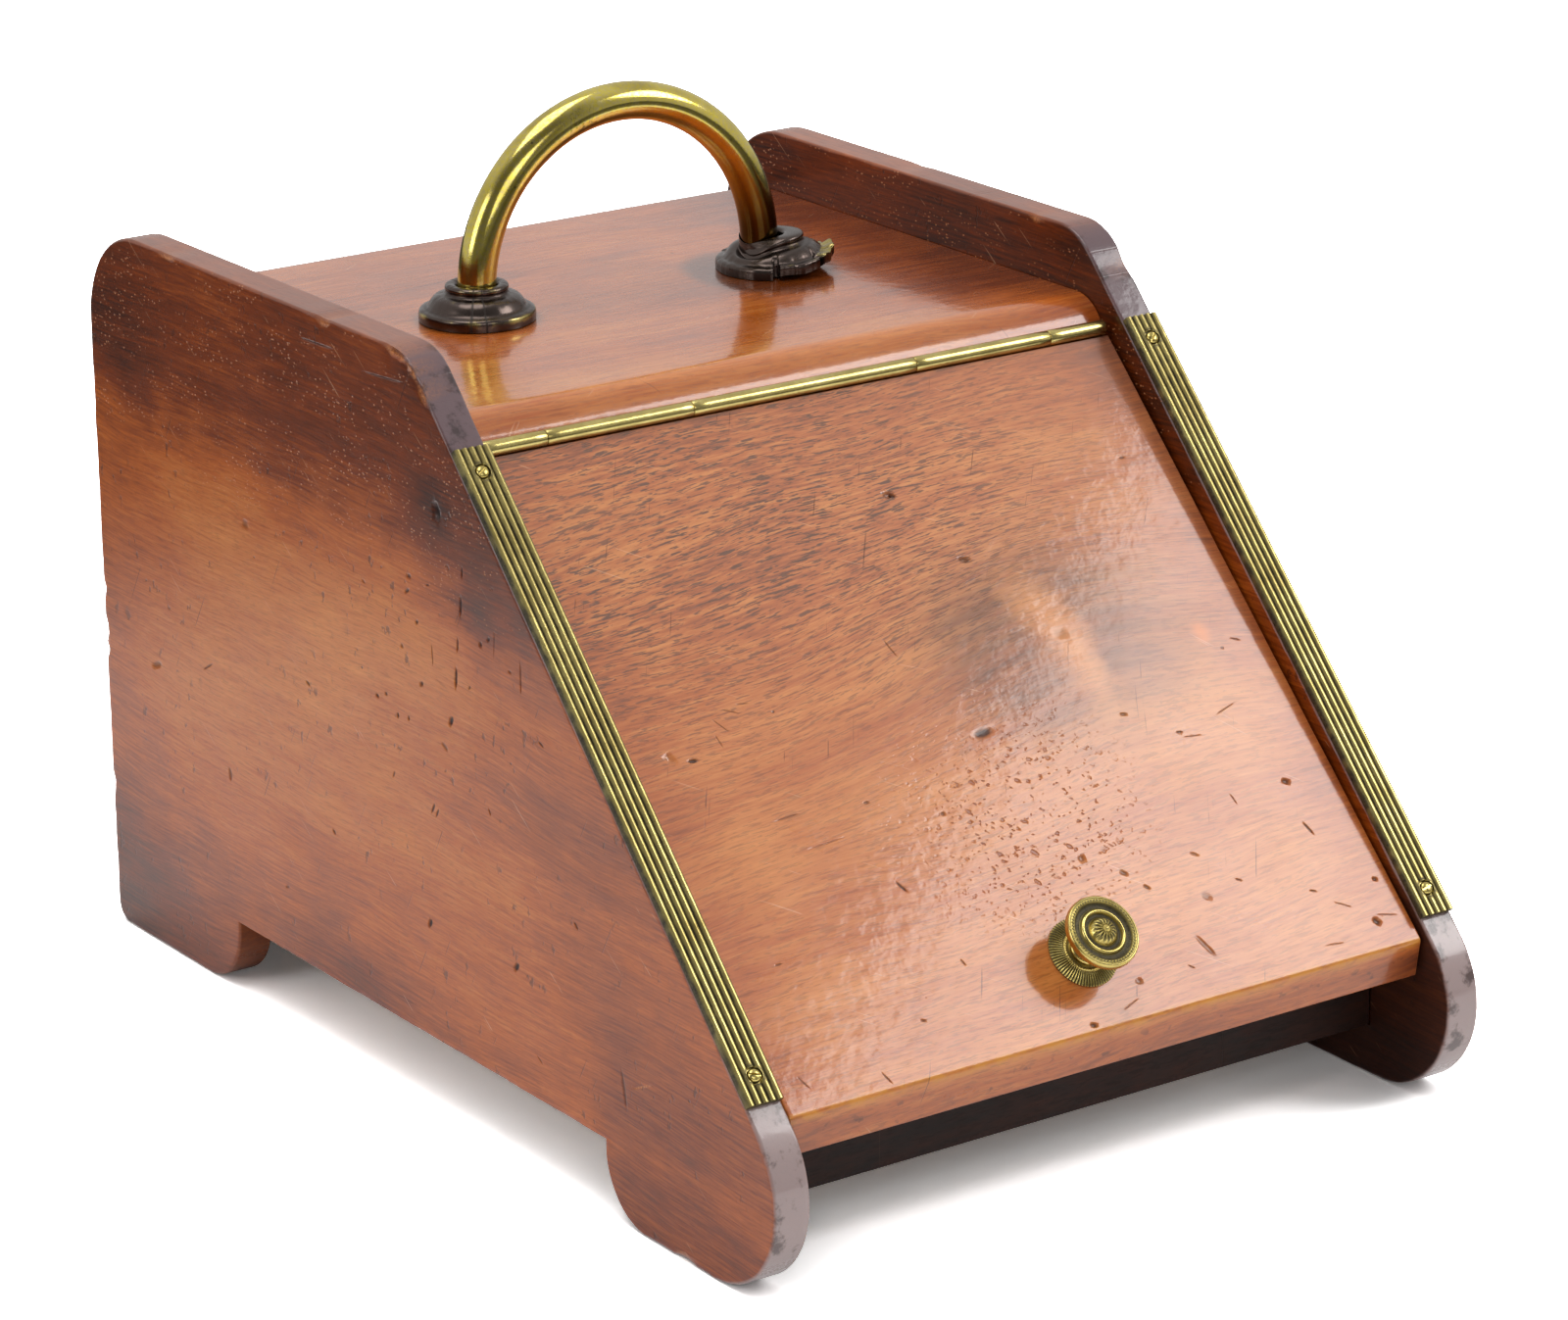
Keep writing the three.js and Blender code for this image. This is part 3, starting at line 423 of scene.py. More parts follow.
class Value:
    """A socket of a node tree that can be added, subtracted and multiplied."""

    def __init__(self, shade, socket):
        self.shade, self.socket = shade, socket

    def __add__(self, other):
        return self.shade.math("ADD", self, other)

    def __sub__(self, other):
        return self.shade.math("SUBTRACT", self, other)

    def __rsub__(self, other):
        return self.shade.math("SUBTRACT", other, self)

    def __mul__(self, other):
        return self.shade.math("MULTIPLY", self, other)

    def __abs__(self):
        return self.shade.math("ABSOLUTE", self)

    __radd__, __rmul__ = __add__, __mul__


class Shade:
    """Short names for the nodes of one material or world."""

    def __init__(self, name, kind="Material"):
        home = bpy.data.materials if kind == "Material" else bpy.data.worlds
        self.material = home.new(name)
        self.material.use_nodes = True
        self.tree = self.material.node_tree
        self.tree.nodes.clear()
        self.out = self.node("ShaderNodeOutput" + kind)
        self.coords = self.get("ShaderNodeTexCoord", out="Object")

    def node(self, kind, inputs=None, **settings):
        made = self.tree.nodes.new(kind)
        for key, value in settings.items():
            setattr(made, key, value)
        for key, value in (inputs or {}).items():
            self.set(made.inputs[key], value)
        return made

    def get(self, kind, inputs=None, out=0, **settings):
        return Value(self, self.node(kind, inputs, **settings).outputs[out])

    def set(self, socket, value):
        if isinstance(value, Value):
            self.tree.links.new(value.socket, socket)
        else:
            socket.default_value = value

    def math(self, kind, a, b=0.0):
        return self.get("ShaderNodeMath", {0: a, 1: b}, operation=kind)

    def max(self, a, b):
        return self.math("MAXIMUM", a, b)

    def clamp(self, value):
        return self.max(self.math("MINIMUM", value, 1.0), 0.0)

    def span(self, value, low, high, to_low=0.0, to_high=1.0, how="SMOOTHSTEP"):
        return self.get("ShaderNodeMapRange", {
            "Value": value, "From Min": low, "From Max": high, "To Min": to_low, "To Max": to_high},
            interpolation_type=how)

    def place(self, vector, location=(0, 0, 0), rotation=(0, 0, 0)):
        return self.get("ShaderNodeMapping", {"Vector": vector, "Location": location, "Rotation": rotation})

    def noise(self, vector, scale=1.0, detail=3.0, rough=0.5):
        return self.get("ShaderNodeTexNoise", {
            "Vector": vector, "Scale": scale, "Detail": detail, "Roughness": rough, "Distortion": 0.0}, "Fac")

    def cells(self, vector, scale=1.0):
        """Distance to the nearest of many scattered points, and a number of its own for each of them."""
        made = self.node("ShaderNodeTexVoronoi", {"Vector": vector, "Scale": scale, "Randomness": 1.0})
        at = Value(self, made.outputs["Position"])
        return Value(self, made.outputs["Distance"]), self.get("ShaderNodeTexWhiteNoise", {"Vector": at})

    def xyz(self, vector):
        made = self.node("ShaderNodeSeparateXYZ", {"Vector": vector})
        return [Value(self, made.outputs[k]) for k in range(3)]

    def vec(self, x, y, z):
        return self.get("ShaderNodeCombineXYZ", {"X": x, "Y": y, "Z": z})

    def ramp(self, fac, stops):
        made = self.node("ShaderNodeValToRGB", {"Fac": fac})
        ramp = made.color_ramp
        while len(ramp.elements) < len(stops):
            ramp.elements.new(0.5)
        for element, (at, colour) in zip(ramp.elements, stops):
            element.position, element.color = at, colour
        return Value(self, made.outputs["Color"])

    def mix(self, fac, a, b):
        return self.get(
            "ShaderNodeMix", {0: fac, 6: a, 7: b}, 2, data_type="RGBA", blend_type="MIX", clamp_factor=True)

    def mark(self, name):
        return self.get("ShaderNodeAttribute", out="Fac", attribute_name=name, attribute_type="GEOMETRY")

    def spot(self, u, v, at, radii, hardness=0.0):
        """1 inside an ellipse round a point of two coordinates, fading to 0 at its rim."""
        du, dv = (u - at[0]) * (1 / radii[0]), (v - at[1]) * (1 / radii[1])
        return self.span(self.math("SQRT", du * du + dv * dv), hardness, 1.0, 1.0, 0.0)

    def bump(self, height, distance, strength):
        return self.get("ShaderNodeBump", {"Height": height, "Distance": distance, "Strength": strength})

    def finish(self, **inputs):
        shader = self.get("ShaderNodeBsdfPrincipled", {
            key.replace("_", " "): value for key, value in inputs.items()})
        self.set(self.out.inputs["Surface"], shader)
        return self.material


# ---------------------------------------------------------------- wood

LIGHT = srgb(216, 134, 62)
MID = srgb(184, 92, 26)
DEEP = srgb(126, 52, 6)
DARK = srgb(62, 23, 4)
PORE = srgb(58, 26, 12)
BRUISE = srgb(40, 22, 20)
SMOKE = srgb(96, 62, 46)
EDGE_GREY_AND_SHEEN = srgb(104, 84, 88)
SHADE_AND_STAIN = srgb(18, 8, 5)
RAW = srgb(205, 128, 68)


def scratches(s, along, across, angle, seed):
    """Thin straight scratches that come and go, all about the same way."""
    c, sn = cos(angle), sin(angle)
    u = along * c + across * sn
    v = across * c - along * sn
    line = s.noise(s.vec(u * 22, v * 900, seed), 1, 1, 0.4)
    patch = s.noise(s.vec(u * 50, v * 110, seed + 5), 1, 2, 0.5)
    return s.span(line, 0.7, 0.76) * s.span(patch, 0.52, 0.6)


def wood(name, grain, tone=0.5, pores=0.6, seed=0.0, gloss=0.3, coat=0.7, extra=None, figure=None, streak=0.5,
         mottle=0.5, darkening=0.0):
    """Varnished mahogany. grain gives the metres along, across and through the board, and extra its wear,
    marks and painted light and shade.
    """
    s = Shade(name)
    along, across, through = s.xyz(grain(s))
    if figure:
        across = figure(s, along, across)
    sway = s.noise(s.vec(along * 5, across * 9, seed), 1, 2, 0.5)
    bent = across + (sway - 0.5) * 0.022
    rings = s.noise(s.vec(along * 2.2, bent * 34, through * 20 + (seed + 3)), 1, 4, 0.6)
    ribbon = s.noise(s.vec(along * 9, bent * 120, seed + 7), 1, 3, 0.55)
    thread = s.noise(s.vec(along * 48, bent * 480, through * 200 + (seed + 9)), 1, 3, 0.65)
    fibre = s.noise(s.vec(along * 38, bent * 900, through * 300 + (seed + 11)), 1, 3, 0.6)
    pore = s.noise(s.vec(along * 180, bent * 1450, through * 900 + (seed + 17)), 1, 2, 0.5)
    vessel = s.noise(s.vec(along * 95, bent * 900, through * 500 + (seed + 19)), 1, 2, 0.5)
    cloud = s.noise(s.vec(along * 9, across * 13, seed + 23), 1, 3, 0.5)
    smudge = s.noise(s.vec(along * 30, across * 42, seed + 29), 1, 4, 0.6)

    value = tone + (rings - 0.5) * (1.1 * streak) + (ribbon - 0.5) * (0.6 * streak) + (fibre - 0.5) * 0.55
    value += (cloud - 0.5) * (1.1 * mottle) + (smudge - 0.5) * (0.6 * mottle)
    pore_here, tint, rough_extra, relief, shine = pores, (), 0.0, 0.0, 1.0
    if extra:
        value, pore_here, tint, rough_extra, relief, shine = extra(s, along, across, value, pores)
    value += (thread - 0.5) * 1.5 * pore_here
    colour = s.ramp(value, [(0.0, DARK), (0.3, DEEP), (0.58, MID), (0.95, LIGHT)])
    dashes = s.max(s.span(pore, 0.56, 0.64, 0.0, 0.9), s.span(vessel, 0.58, 0.65))
    colour = s.mix(dashes * pore_here, colour, PORE)
    for fac, shade in tint:
        colour = s.mix(fac, colour, shade)
    # small dark specks and bruises scattered over the face, and scratches
    near, chance = s.cells(s.vec(along * 85, across * 110, seed))
    speck = s.span(near, 0.03, 0.085, 1.0, 0.0) * s.span(chance, 0.86, 0.98)
    colour = s.mix(speck * 0.85, colour, PORE)
    dark_lines = scratches(s, along, across, -1.05, seed + 2)
    colour = s.mix(scratches(s, along, across, 0.62, seed + 1) * 0.35, colour, srgb(232, 180, 140))
    colour = s.mix(dark_lines * 0.55, colour, PORE)
    dark, pale, edge = s.mark("dark"), s.mark("pale"), s.mark("edge")
    ragged = s.noise(s.coords, 900, 2, 0.6)
    worn = pale * s.span(ragged, 0.35, 0.6, 0.25, 1.0)
    colour = s.mix(worn * s.span(edge, 0.2, 0.9, 0.8, 0.25), colour, RAW)
    colour = s.mix(dark, colour, BRUISE)
    shine = shine * coat * s.span(dark, 0.0, 0.8, 1.0, 0.3)
    # the rail's near-black colour is painted shade under the lid's lip over dark stained wood
    if darkening:
        colour = s.mix(darkening, colour, SHADE_AND_STAIN)
    rough = s.max((smudge - 0.5) * 0.22 + gloss + dashes * (pore_here * 0.12) + rough_extra, 0.12)
    height = fibre * 0.25 + dashes * (pore_here * -0.9) + speck * -2.2
    height += s.noise(s.coords, 420, 2, 0.5) * 0.35 - dark_lines + relief
    varnish = s.noise(s.coords, 160, 2, 0.5) - speck + relief
    return s.finish(
        Base_Color=colour, Roughness=rough, Normal=s.bump(height, 0.00012, 0.6), Coat_Weight=shine,
        Specular_IOR_Level=0.3, Coat_Roughness=smudge * 0.14 + 0.03, IOR=1.5,
        Coat_Normal=s.bump(varnish, 0.00016, 0.5))


def grain_x(s):
    """Along X, across Y, through Z."""
    return s.coords


def grain_y(s):
    """Along Y, across Z, through X."""
    x, y, z = s.xyz(s.coords)
    return s.vec(y, z, x)


def grain_lid(s):
    """Along X, across down the lid, through the lid."""
    from_hinge = s.place(s.coords, location=(0, -HINGE[0] * MM, -HINGE[1] * MM))
    x, y, z = s.xyz(s.place(from_hinge, rotation=(-LID_ANGLE, 0, 0)))
    return s.vec(x, y * -1, z)


def lid_figure(s, along, across):
    """The board's rings close round a knot right of the middle, and rise towards the hinge's right end."""
    du = (along - 0.062) * (1 / 0.085)
    dv = (across - 0.132) * (1 / 0.060)
    far = du * du + dv * dv
    return across + along * 0.05 + s.math("EXPONENT", far * -0.9) * 0.022


def lid_extra(s, along, across, value, pores):
    """Open grain at the upper left, a smoky ring round a pale core painted as a highlight, painted sheen
    fading down the lid, painted shade along the sides, the head and the front face, pitting, and a worn front
    edge.
    """
    down = s.xyz(grain_lid(s))[1]
    upper = s.span(down, 0.04, 0.19, 1.0, 0.1)
    left = s.span(along, 0.0, 0.14, 1.0, 0.2)
    blotch = s.noise(s.vec(along * 14, down * 18, 4.4), 1, 3, 0.55)
    pore_here = upper * left * s.span(blotch, 0.25, 0.6, 0.55, 0.9) + 0.2
    broken = s.noise(s.vec(along * 26, down * 22, 9.1), 1, 4, 0.6)
    wander = (broken - 0.5) * 0.03
    ring = s.spot(along + wander, down, (0.056, 0.13), (0.098, 0.066), 0.15)
    # the pale core inside the ring is painted as a highlight
    core_u = along + wander + (down - 0.135) * -0.18
    core = s.spot(core_u, down + wander * 0.5, (0.06, 0.132), (0.018, 0.046), 0.05)
    loops = s.span(s.noise(s.vec(across * 150, 0.0, 2.2), 1, 3, 0.6), 0.3, 0.7, 0.6, 1.15)
    smoky = ring * (1.0 - core) * (s.span(broken, 0.3, 0.7, 0.5, 0.75) * loops)
    glow = core * s.span(broken, 0.25, 0.55, 0.3, 0.7)
    ember = s.spot(along, down, (0.124, 0.142), (0.006, 0.008), 0.1)
    # painted shade along both sides beside the panels and along the head under the hinge
    sides = s.span(abs(along), 0.112, 0.152, 0.0, 1.0)
    head = s.span(down, 0.0, 0.04, 1.0, 0.0)
    value += s.span(down, 0.1, 0.27, 0.0, 0.04) - sides * 0.2 - head * 0.2
    value -= s.spot(along, down, (-0.06, 0.07), (0.13, 0.1)) * 0.08
    # fine pitting below the ring
    ruffle = s.noise(s.vec(along * 260, down * 260, 3.0), 1, 2, 0.5) * 0.004
    u, v = along + ruffle, down + ruffle
    field = s.spot(along, down, (0.004, 0.2), (0.075, 0.062), 0.25)
    pit = 0.0
    for size, low in ((215, 0.42), (420, 0.3)):
        near, chance = s.cells(s.vec(u * size, v * (size * 1.25), 1.0))
        pit = s.max(pit, s.span(near, 0.12, 0.3, 1.0, 0.0) * s.span(chance, low, low + 0.15))
    pit = pit * field
    # the arris of the front edge is rubbed to a yellow line, and the edge below it is dirty and painted darker
    # as shade
    ragged = s.noise(s.vec(along * 120, down * 300, 6.0), 1, 3, 0.6)
    rub = s.span(down, 0.2888, 0.29) * s.span(down, 0.2915, 0.2932, 1.0, 0.0)
    rub = rub * s.span(ragged, 0.35, 0.6, 0.15, 0.85)
    lip = s.span(down, 0.2925, 0.296)
    value = value - lip * 0.24
    dirt = lip * s.span(ragged, 0.6, 0.68, 0.0, 0.5)
    # painted sheen: a pale tint strongest near the hinge, fading down the lid
    painted_sheen = s.span(down, 0.0, 0.27, 1.0, 0.3) * 0.26
    tint = [
        (painted_sheen, srgb(200, 152, 126)), (smoky, SMOKE), (glow, srgb(228, 156, 92)),
        (ember * 0.7, srgb(226, 128, 50)), (pit * 0.8, DEEP), (rub, srgb(214, 142, 50)), (dirt, PORE)]
    return value, pore_here, tint, upper * 0.05, pit * -2.5, s.span(pit, 0.0, 1.0, 1.0, 0.6)


def panel_extra(s, along, across, value, pores):
    """Crackled varnish with flecks painted pale as glints, painted shade at the top and in the low front
    corner, painted sheen over the middle, grey worn front edges with painted sheen at the feet, and darker
    inner faces, painted near black low down as shade over dark stained wood.
    """
    x = s.xyz(s.coords)[0]
    blotch = s.noise(s.vec(along * 11, across * 16, 7.7), 1, 4, 0.55)
    wander = (blotch - 0.5) * 0.1
    top = s.span(across + wander + along * -0.1, 0.205, 0.25, 0.0, 1.0)
    low = s.span(across + wander, 0.0, 0.1, 1.0, 0.0) * s.span(along, -0.1, 0.06, 0.25, 1.0)
    back = s.span(along + wander, 0.17, 0.25, 0.0, 1.0)
    slope = along * -0.93 + across * 0.37
    front = s.span(slope + wander, 0.1, 0.15, 0.0, 1.0)
    # painted shade darkens the top and the low front corner and painted sheen lightens the middle, standing in
    # for the floor's dim and bright reflections; the back and the sloping front are a little darker too
    value = value - top * 0.3 - low * 0.36 - back * 0.12 - front * 0.14
    value -= s.spot(along, across, (-0.025, 0.252), (0.032, 0.026)) * 0.24
    value += s.spot(along, across, (0.08, 0.16), (0.2, 0.09)) * 0.16
    # crackled varnish along the top, its flecks painted pale as glints
    crack, _ = s.cells(s.vec(along * 330, across * 560, 2.0))
    patch = s.noise(s.vec(along * 20, across * 70, 5.0), 1, 3, 0.6)
    fleck = s.span(crack, 0.1, 0.26, 1.0, 0.0) * s.span(patch, 0.43, 0.56)
    fleck = fleck * s.span(across, 0.19, 0.25)
    # dark flecks where the varnish has gone, over the middle
    loss = s.noise(s.vec(along * 190, across * 120, 8.0), 1, 3, 0.6)
    where = s.noise(s.vec(along * 18, across * 22, 2.0), 1, 3, 0.6)
    loss = s.span(loss, 0.61, 0.66) * s.span(where, 0.48, 0.58)
    edge = s.mark("edge")
    # front edges grey: old varnish and dirt, with the pale grey towards the feet painted as sheen
    ahead = s.span(along, -0.012, 0.012, 1.0, 0.0)
    foot = s.span(across, 0.08, 0.12, 1.0, 0.0)
    grey = s.mix(foot, EDGE_GREY_AND_SHEEN, srgb(164, 146, 144))
    grime = s.noise(s.coords, 90, 4, 0.65)
    grey = s.mix(s.span(grime, 0.5, 0.66, 0.0, 0.8), grey, srgb(40, 26, 26))
    # inner faces are darker and duller; low down they are painted near black, shade under the lid over dark
    # stained wood
    within = s.span(abs(x), 0.1538, 0.1546, 1.0, 0.0)
    shade_and_stain_inside = within * s.span(across, 0.075, 0.105, 1.0, 0.0)
    tint = [
        (fleck * 0.6, srgb(226, 150, 100)), (loss * 0.6, PORE), (edge * ahead * 0.94, grey),
        (edge * (1.0 - ahead) * 0.4, srgb(150, 96, 70)), (shade_and_stain_inside * 0.92, SHADE_AND_STAIN)]
    shine = s.span(within, 0.0, 1.0, 1.0, 0.4) * s.span(shade_and_stain_inside, 0.0, 1.0, 1.0, 0.2) + edge * ahead * 0.8
    rough = fleck * 0.2 + shade_and_stain_inside * 0.25 - edge * 0.06
    return value - within * 0.16, pores, tint, rough, s.max(fleck, loss) * -1.2, shine


def top_extra(s, along, across, value, pores):
    """Darker round the cups, a pale front painted as the sheen of the nose, and a dark right-hand end."""
    darkening = s.spot(along, across, (0.066, 0.096), (0.034, 0.044), 0.75)
    ring = s.spot(along, across, (-0.07, 0.102), (0.029, 0.029), 0.75)
    nose = s.span(across, -0.019, -0.012, 1.0, 0.0)
    # the front is painted lighter as the nose's sheen; the right-hand end is darker
    value += s.span(across, 0.04, -0.01, 0.0, 0.16) - s.span(along, 0.07, 0.14, 0.0, 0.26)
    tint = [(s.max(darkening, ring) * 0.7, DARK), (nose * 0.25, srgb(96, 44, 44))]
    return value, pores, tint, 0.0, 0.0, 1.0


mahogany_lid = wood("mahogany_lid", grain_lid, 0.75, 0.9, 1.0, 0.3, 0.7, lid_extra, lid_figure, mottle=0.36)
mahogany_top = wood("mahogany_top", grain_x, 0.56, 0.22, 31.0, 0.26, 0.95, top_extra, streak=0.4, mottle=0.45)
mahogany_panel = wood(
    "mahogany_panel", grain_y, 0.6, 0.2, 57.0, 0.36, 0.38, panel_extra, streak=0.4, mottle=0.36)
# the rail is darkened nearly to black: painted shade under the lid's lip over dark wood
mahogany_rail = wood("mahogany_rail", grain_x, 0.1, 0.4, 83.0, 0.6, 0.0, darkening=0.88)
mahogany_back = wood("mahogany_back", grain_x, 0.42, 0.6, 91.0, 0.55, 0.1)


def pine_material(seed):
    """Plain unfinished softwood, yellowed and a little dirty."""
    s = Shade("pine")
    along, across, through = s.xyz(s.coords)
    sway = s.noise(s.vec(along * 4, across * 8, seed), 1, 2, 0.5)
    bent = across + (sway - 0.5) * 0.02
    rings = s.noise(s.vec(along * 3, bent * 90, seed), 1, 3, 0.5)
    fibre = s.noise(s.vec(along * 40, bent * 900, through * 300), 1, 3, 0.6)
    dirt = s.noise(s.coords, 26, 4, 0.6)
    colour = s.ramp(rings * 0.7 + fibre * 0.3, [
        (0.3, srgb(128, 88, 52)), (0.55, srgb(176, 132, 84)), (0.8, srgb(198, 158, 108))])
    colour = s.mix(s.span(dirt, 0.45, 0.75, 0.0, 0.6), colour, srgb(92, 66, 46))
    normal = s.bump(fibre + rings * 0.5, 0.0002, 0.6)
    return s.finish(Base_Color=colour, Roughness=s.span(dirt, 0.3, 0.7, 0.62, 0.85), Normal=normal)


pine = pine_material(3.0)

# ---------------------------------------------------------------- metal


def brass_material(name, clean, dull, tarnish=0.3, rough=0.24, bronze=None, scale=1.0, shade=None):
    """Bare brass: yellow where rubbed, olive to brown where it has tarnished, black in its hollows."""
    s = Shade(name)
    patch = s.noise(s.coords, 42 * scale, 4, 0.6)
    fine = s.noise(s.coords, 700 * scale, 3, 0.6)
    hollow = s.mark("hollow")
    level = s.clamp((patch - 0.5) * 1.3 + tarnish)
    bright = s.mix(s.span(fine, 0.3, 0.7), clean, srgb(232, 214, 140))
    colour = s.mix(level, bright, s.mix(s.span(fine, 0.3, 0.7), dull, srgb(104, 84, 34)))
    if bronze:
        # on the cups the rubbed mark also carries a highlight painted on their right-hand sides
        cover = s.span(s.noise(s.coords, 90, 4, 0.6), 0.2, 0.62) + 0.62 - s.mark("rubbed") * 1.4
        colour = s.mix(s.clamp(cover), colour, bronze)
    if shade:
        colour = shade(s, colour)
    grime = hollow * s.span(fine, 0.2, 0.7, 1.0, 0.85)
    colour = s.mix(grime, colour, srgb(22, 16, 12))
    near, chance = s.cells(s.coords, 240 * scale)
    spot = s.span(near, 0.06, 0.16, 1.0, 0.0) * s.span(chance, 0.82, 0.88)
    colour = s.mix(spot * 0.6, colour, srgb(60, 42, 20))
    roughness = level * 0.1 + rough + hollow * 0.3 + (fine - 0.5) * 0.08
    normal = s.bump(fine * 0.5 + s.noise(s.coords, 120 * scale, 3, 0.6), 0.00008, 0.5)
    metal = s.span(hollow, 0.2, 1.0, 1.0, 0.4)
    return s.finish(Base_Color=colour, Metallic=metal, Roughness=roughness, Normal=normal)


def handle_reflection_and_cracks(s, colour):
    """Brown painted low on the right leg as the reflection of the dark wood, and fine dark cracks in a film
    left of the crown.
    """
    x, y, z = s.xyz(s.coords)
    # painted reflection: the low right leg is browned where it would mirror the dark wood
    low = s.span(x, 0.03, 0.06) * s.span(z, 0.3, 0.35, 1.0, 0.0)
    colour = s.mix(low * 0.95, colour, srgb(52, 26, 6))
    crack = s.noise(s.vec(x * 160, y * 160, z * 60), 1, 3, 0.6)
    crack = s.span(abs(crack - 0.5), 0.0, 0.012, 1.0, 0.0)
    here = s.spot(x, z, (-0.022, 0.358), (0.016, 0.013), 0.3)
    return s.mix(crack * here * 0.85, colour, srgb(40, 34, 16))


gold, olive = srgb(240, 220, 92), srgb(136, 114, 18)
pale_gold, drab = srgb(214, 196, 122), srgb(134, 116, 62)
brass_handle = brass_material("brass_handle", gold, olive, 0.3, 0.13, shade=handle_reflection_and_cracks)
brass_strip = brass_material("brass_strip", pale_gold, drab, 0.45, 0.24, scale=1.6)
brass_hinge = brass_material("brass_hinge", pale_gold, srgb(160, 140, 72), 0.3, 0.2, scale=1.4)
brass_knob = brass_material("brass_knob", srgb(220, 198, 110), srgb(150, 128, 60), 0.35, 0.2, scale=2.0)
bronze_cup = brass_material("bronze_cup", pale_gold, drab, 0.5, 0.2, bronze=srgb(86, 75, 70))


def steel_material():
    s = Shade("dull_steel")
    patch = s.noise(s.coords, 60, 4, 0.6)
    fine = s.noise(s.coords, 800, 3, 0.6)
    colour = s.mix(s.span(patch, 0.35, 0.7), srgb(124, 122, 118), srgb(84, 74, 66))
    colour = s.mix(s.span(s.noise(s.coords, 140, 3, 0.6), 0.58, 0.72, 0.0, 0.6), colour, srgb(92, 56, 34))
    return s.finish(
        Base_Color=colour, Metallic=s.span(patch, 0.4, 0.75, 1.0, 0.75),
        Roughness=s.span(fine, 0.2, 0.8, 0.3, 0.5), Normal=s.bump(fine, 0.00006, 0.5))


def japan_material():
    """Black japanned sheet, rubbed and dusty, browned at scrapes."""
    s = Shade("japanned_sheet")
    x, y, z = s.xyz(s.coords)
    patch = s.noise(s.coords, 22, 4, 0.6)
    fine = s.noise(s.coords, 600, 3, 0.6)
    scrape = s.noise(s.vec(x * 30, y * 30, z * 320), 1, 3, 0.6)
    colour = s.mix(s.span(patch, 0.35, 0.7), srgb(26, 25, 24), srgb(44, 41, 38))
    colour = s.mix(s.span(scrape, 0.58, 0.72, 0.0, 0.65), colour, srgb(78, 66, 56))
    dust = s.span(z, 0.055, 0.12, 1.0, 0.0) * s.span(fine, 0.35, 0.7)
    colour = s.mix(dust * 0.7, colour, srgb(58, 55, 52))
    return s.finish(
        Base_Color=colour, Roughness=s.span(patch, 0.3, 0.75, 0.32, 0.62),
        Normal=s.bump(fine + scrape, 0.00012, 0.5), Coat_Weight=0.2, Coat_Roughness=0.3)


steel = steel_material()
japan = japan_material()

# ---------------------------------------------------------------- side panels

panel_outline = rounded([
    (BACK, 0, 8), (BACK - 107.2, 0, 27), (BACK - 107.2, 30.4, 0), (BACK - 387, 30.4, 0), (BACK - 387, 0, 27),
    (SLOPE_FOOT_Y, 0, 40), (SLOPE_TOP_Y, PANEL_TOP, 28), (BACK, PANEL_TOP, 42)], pitch=4.0)

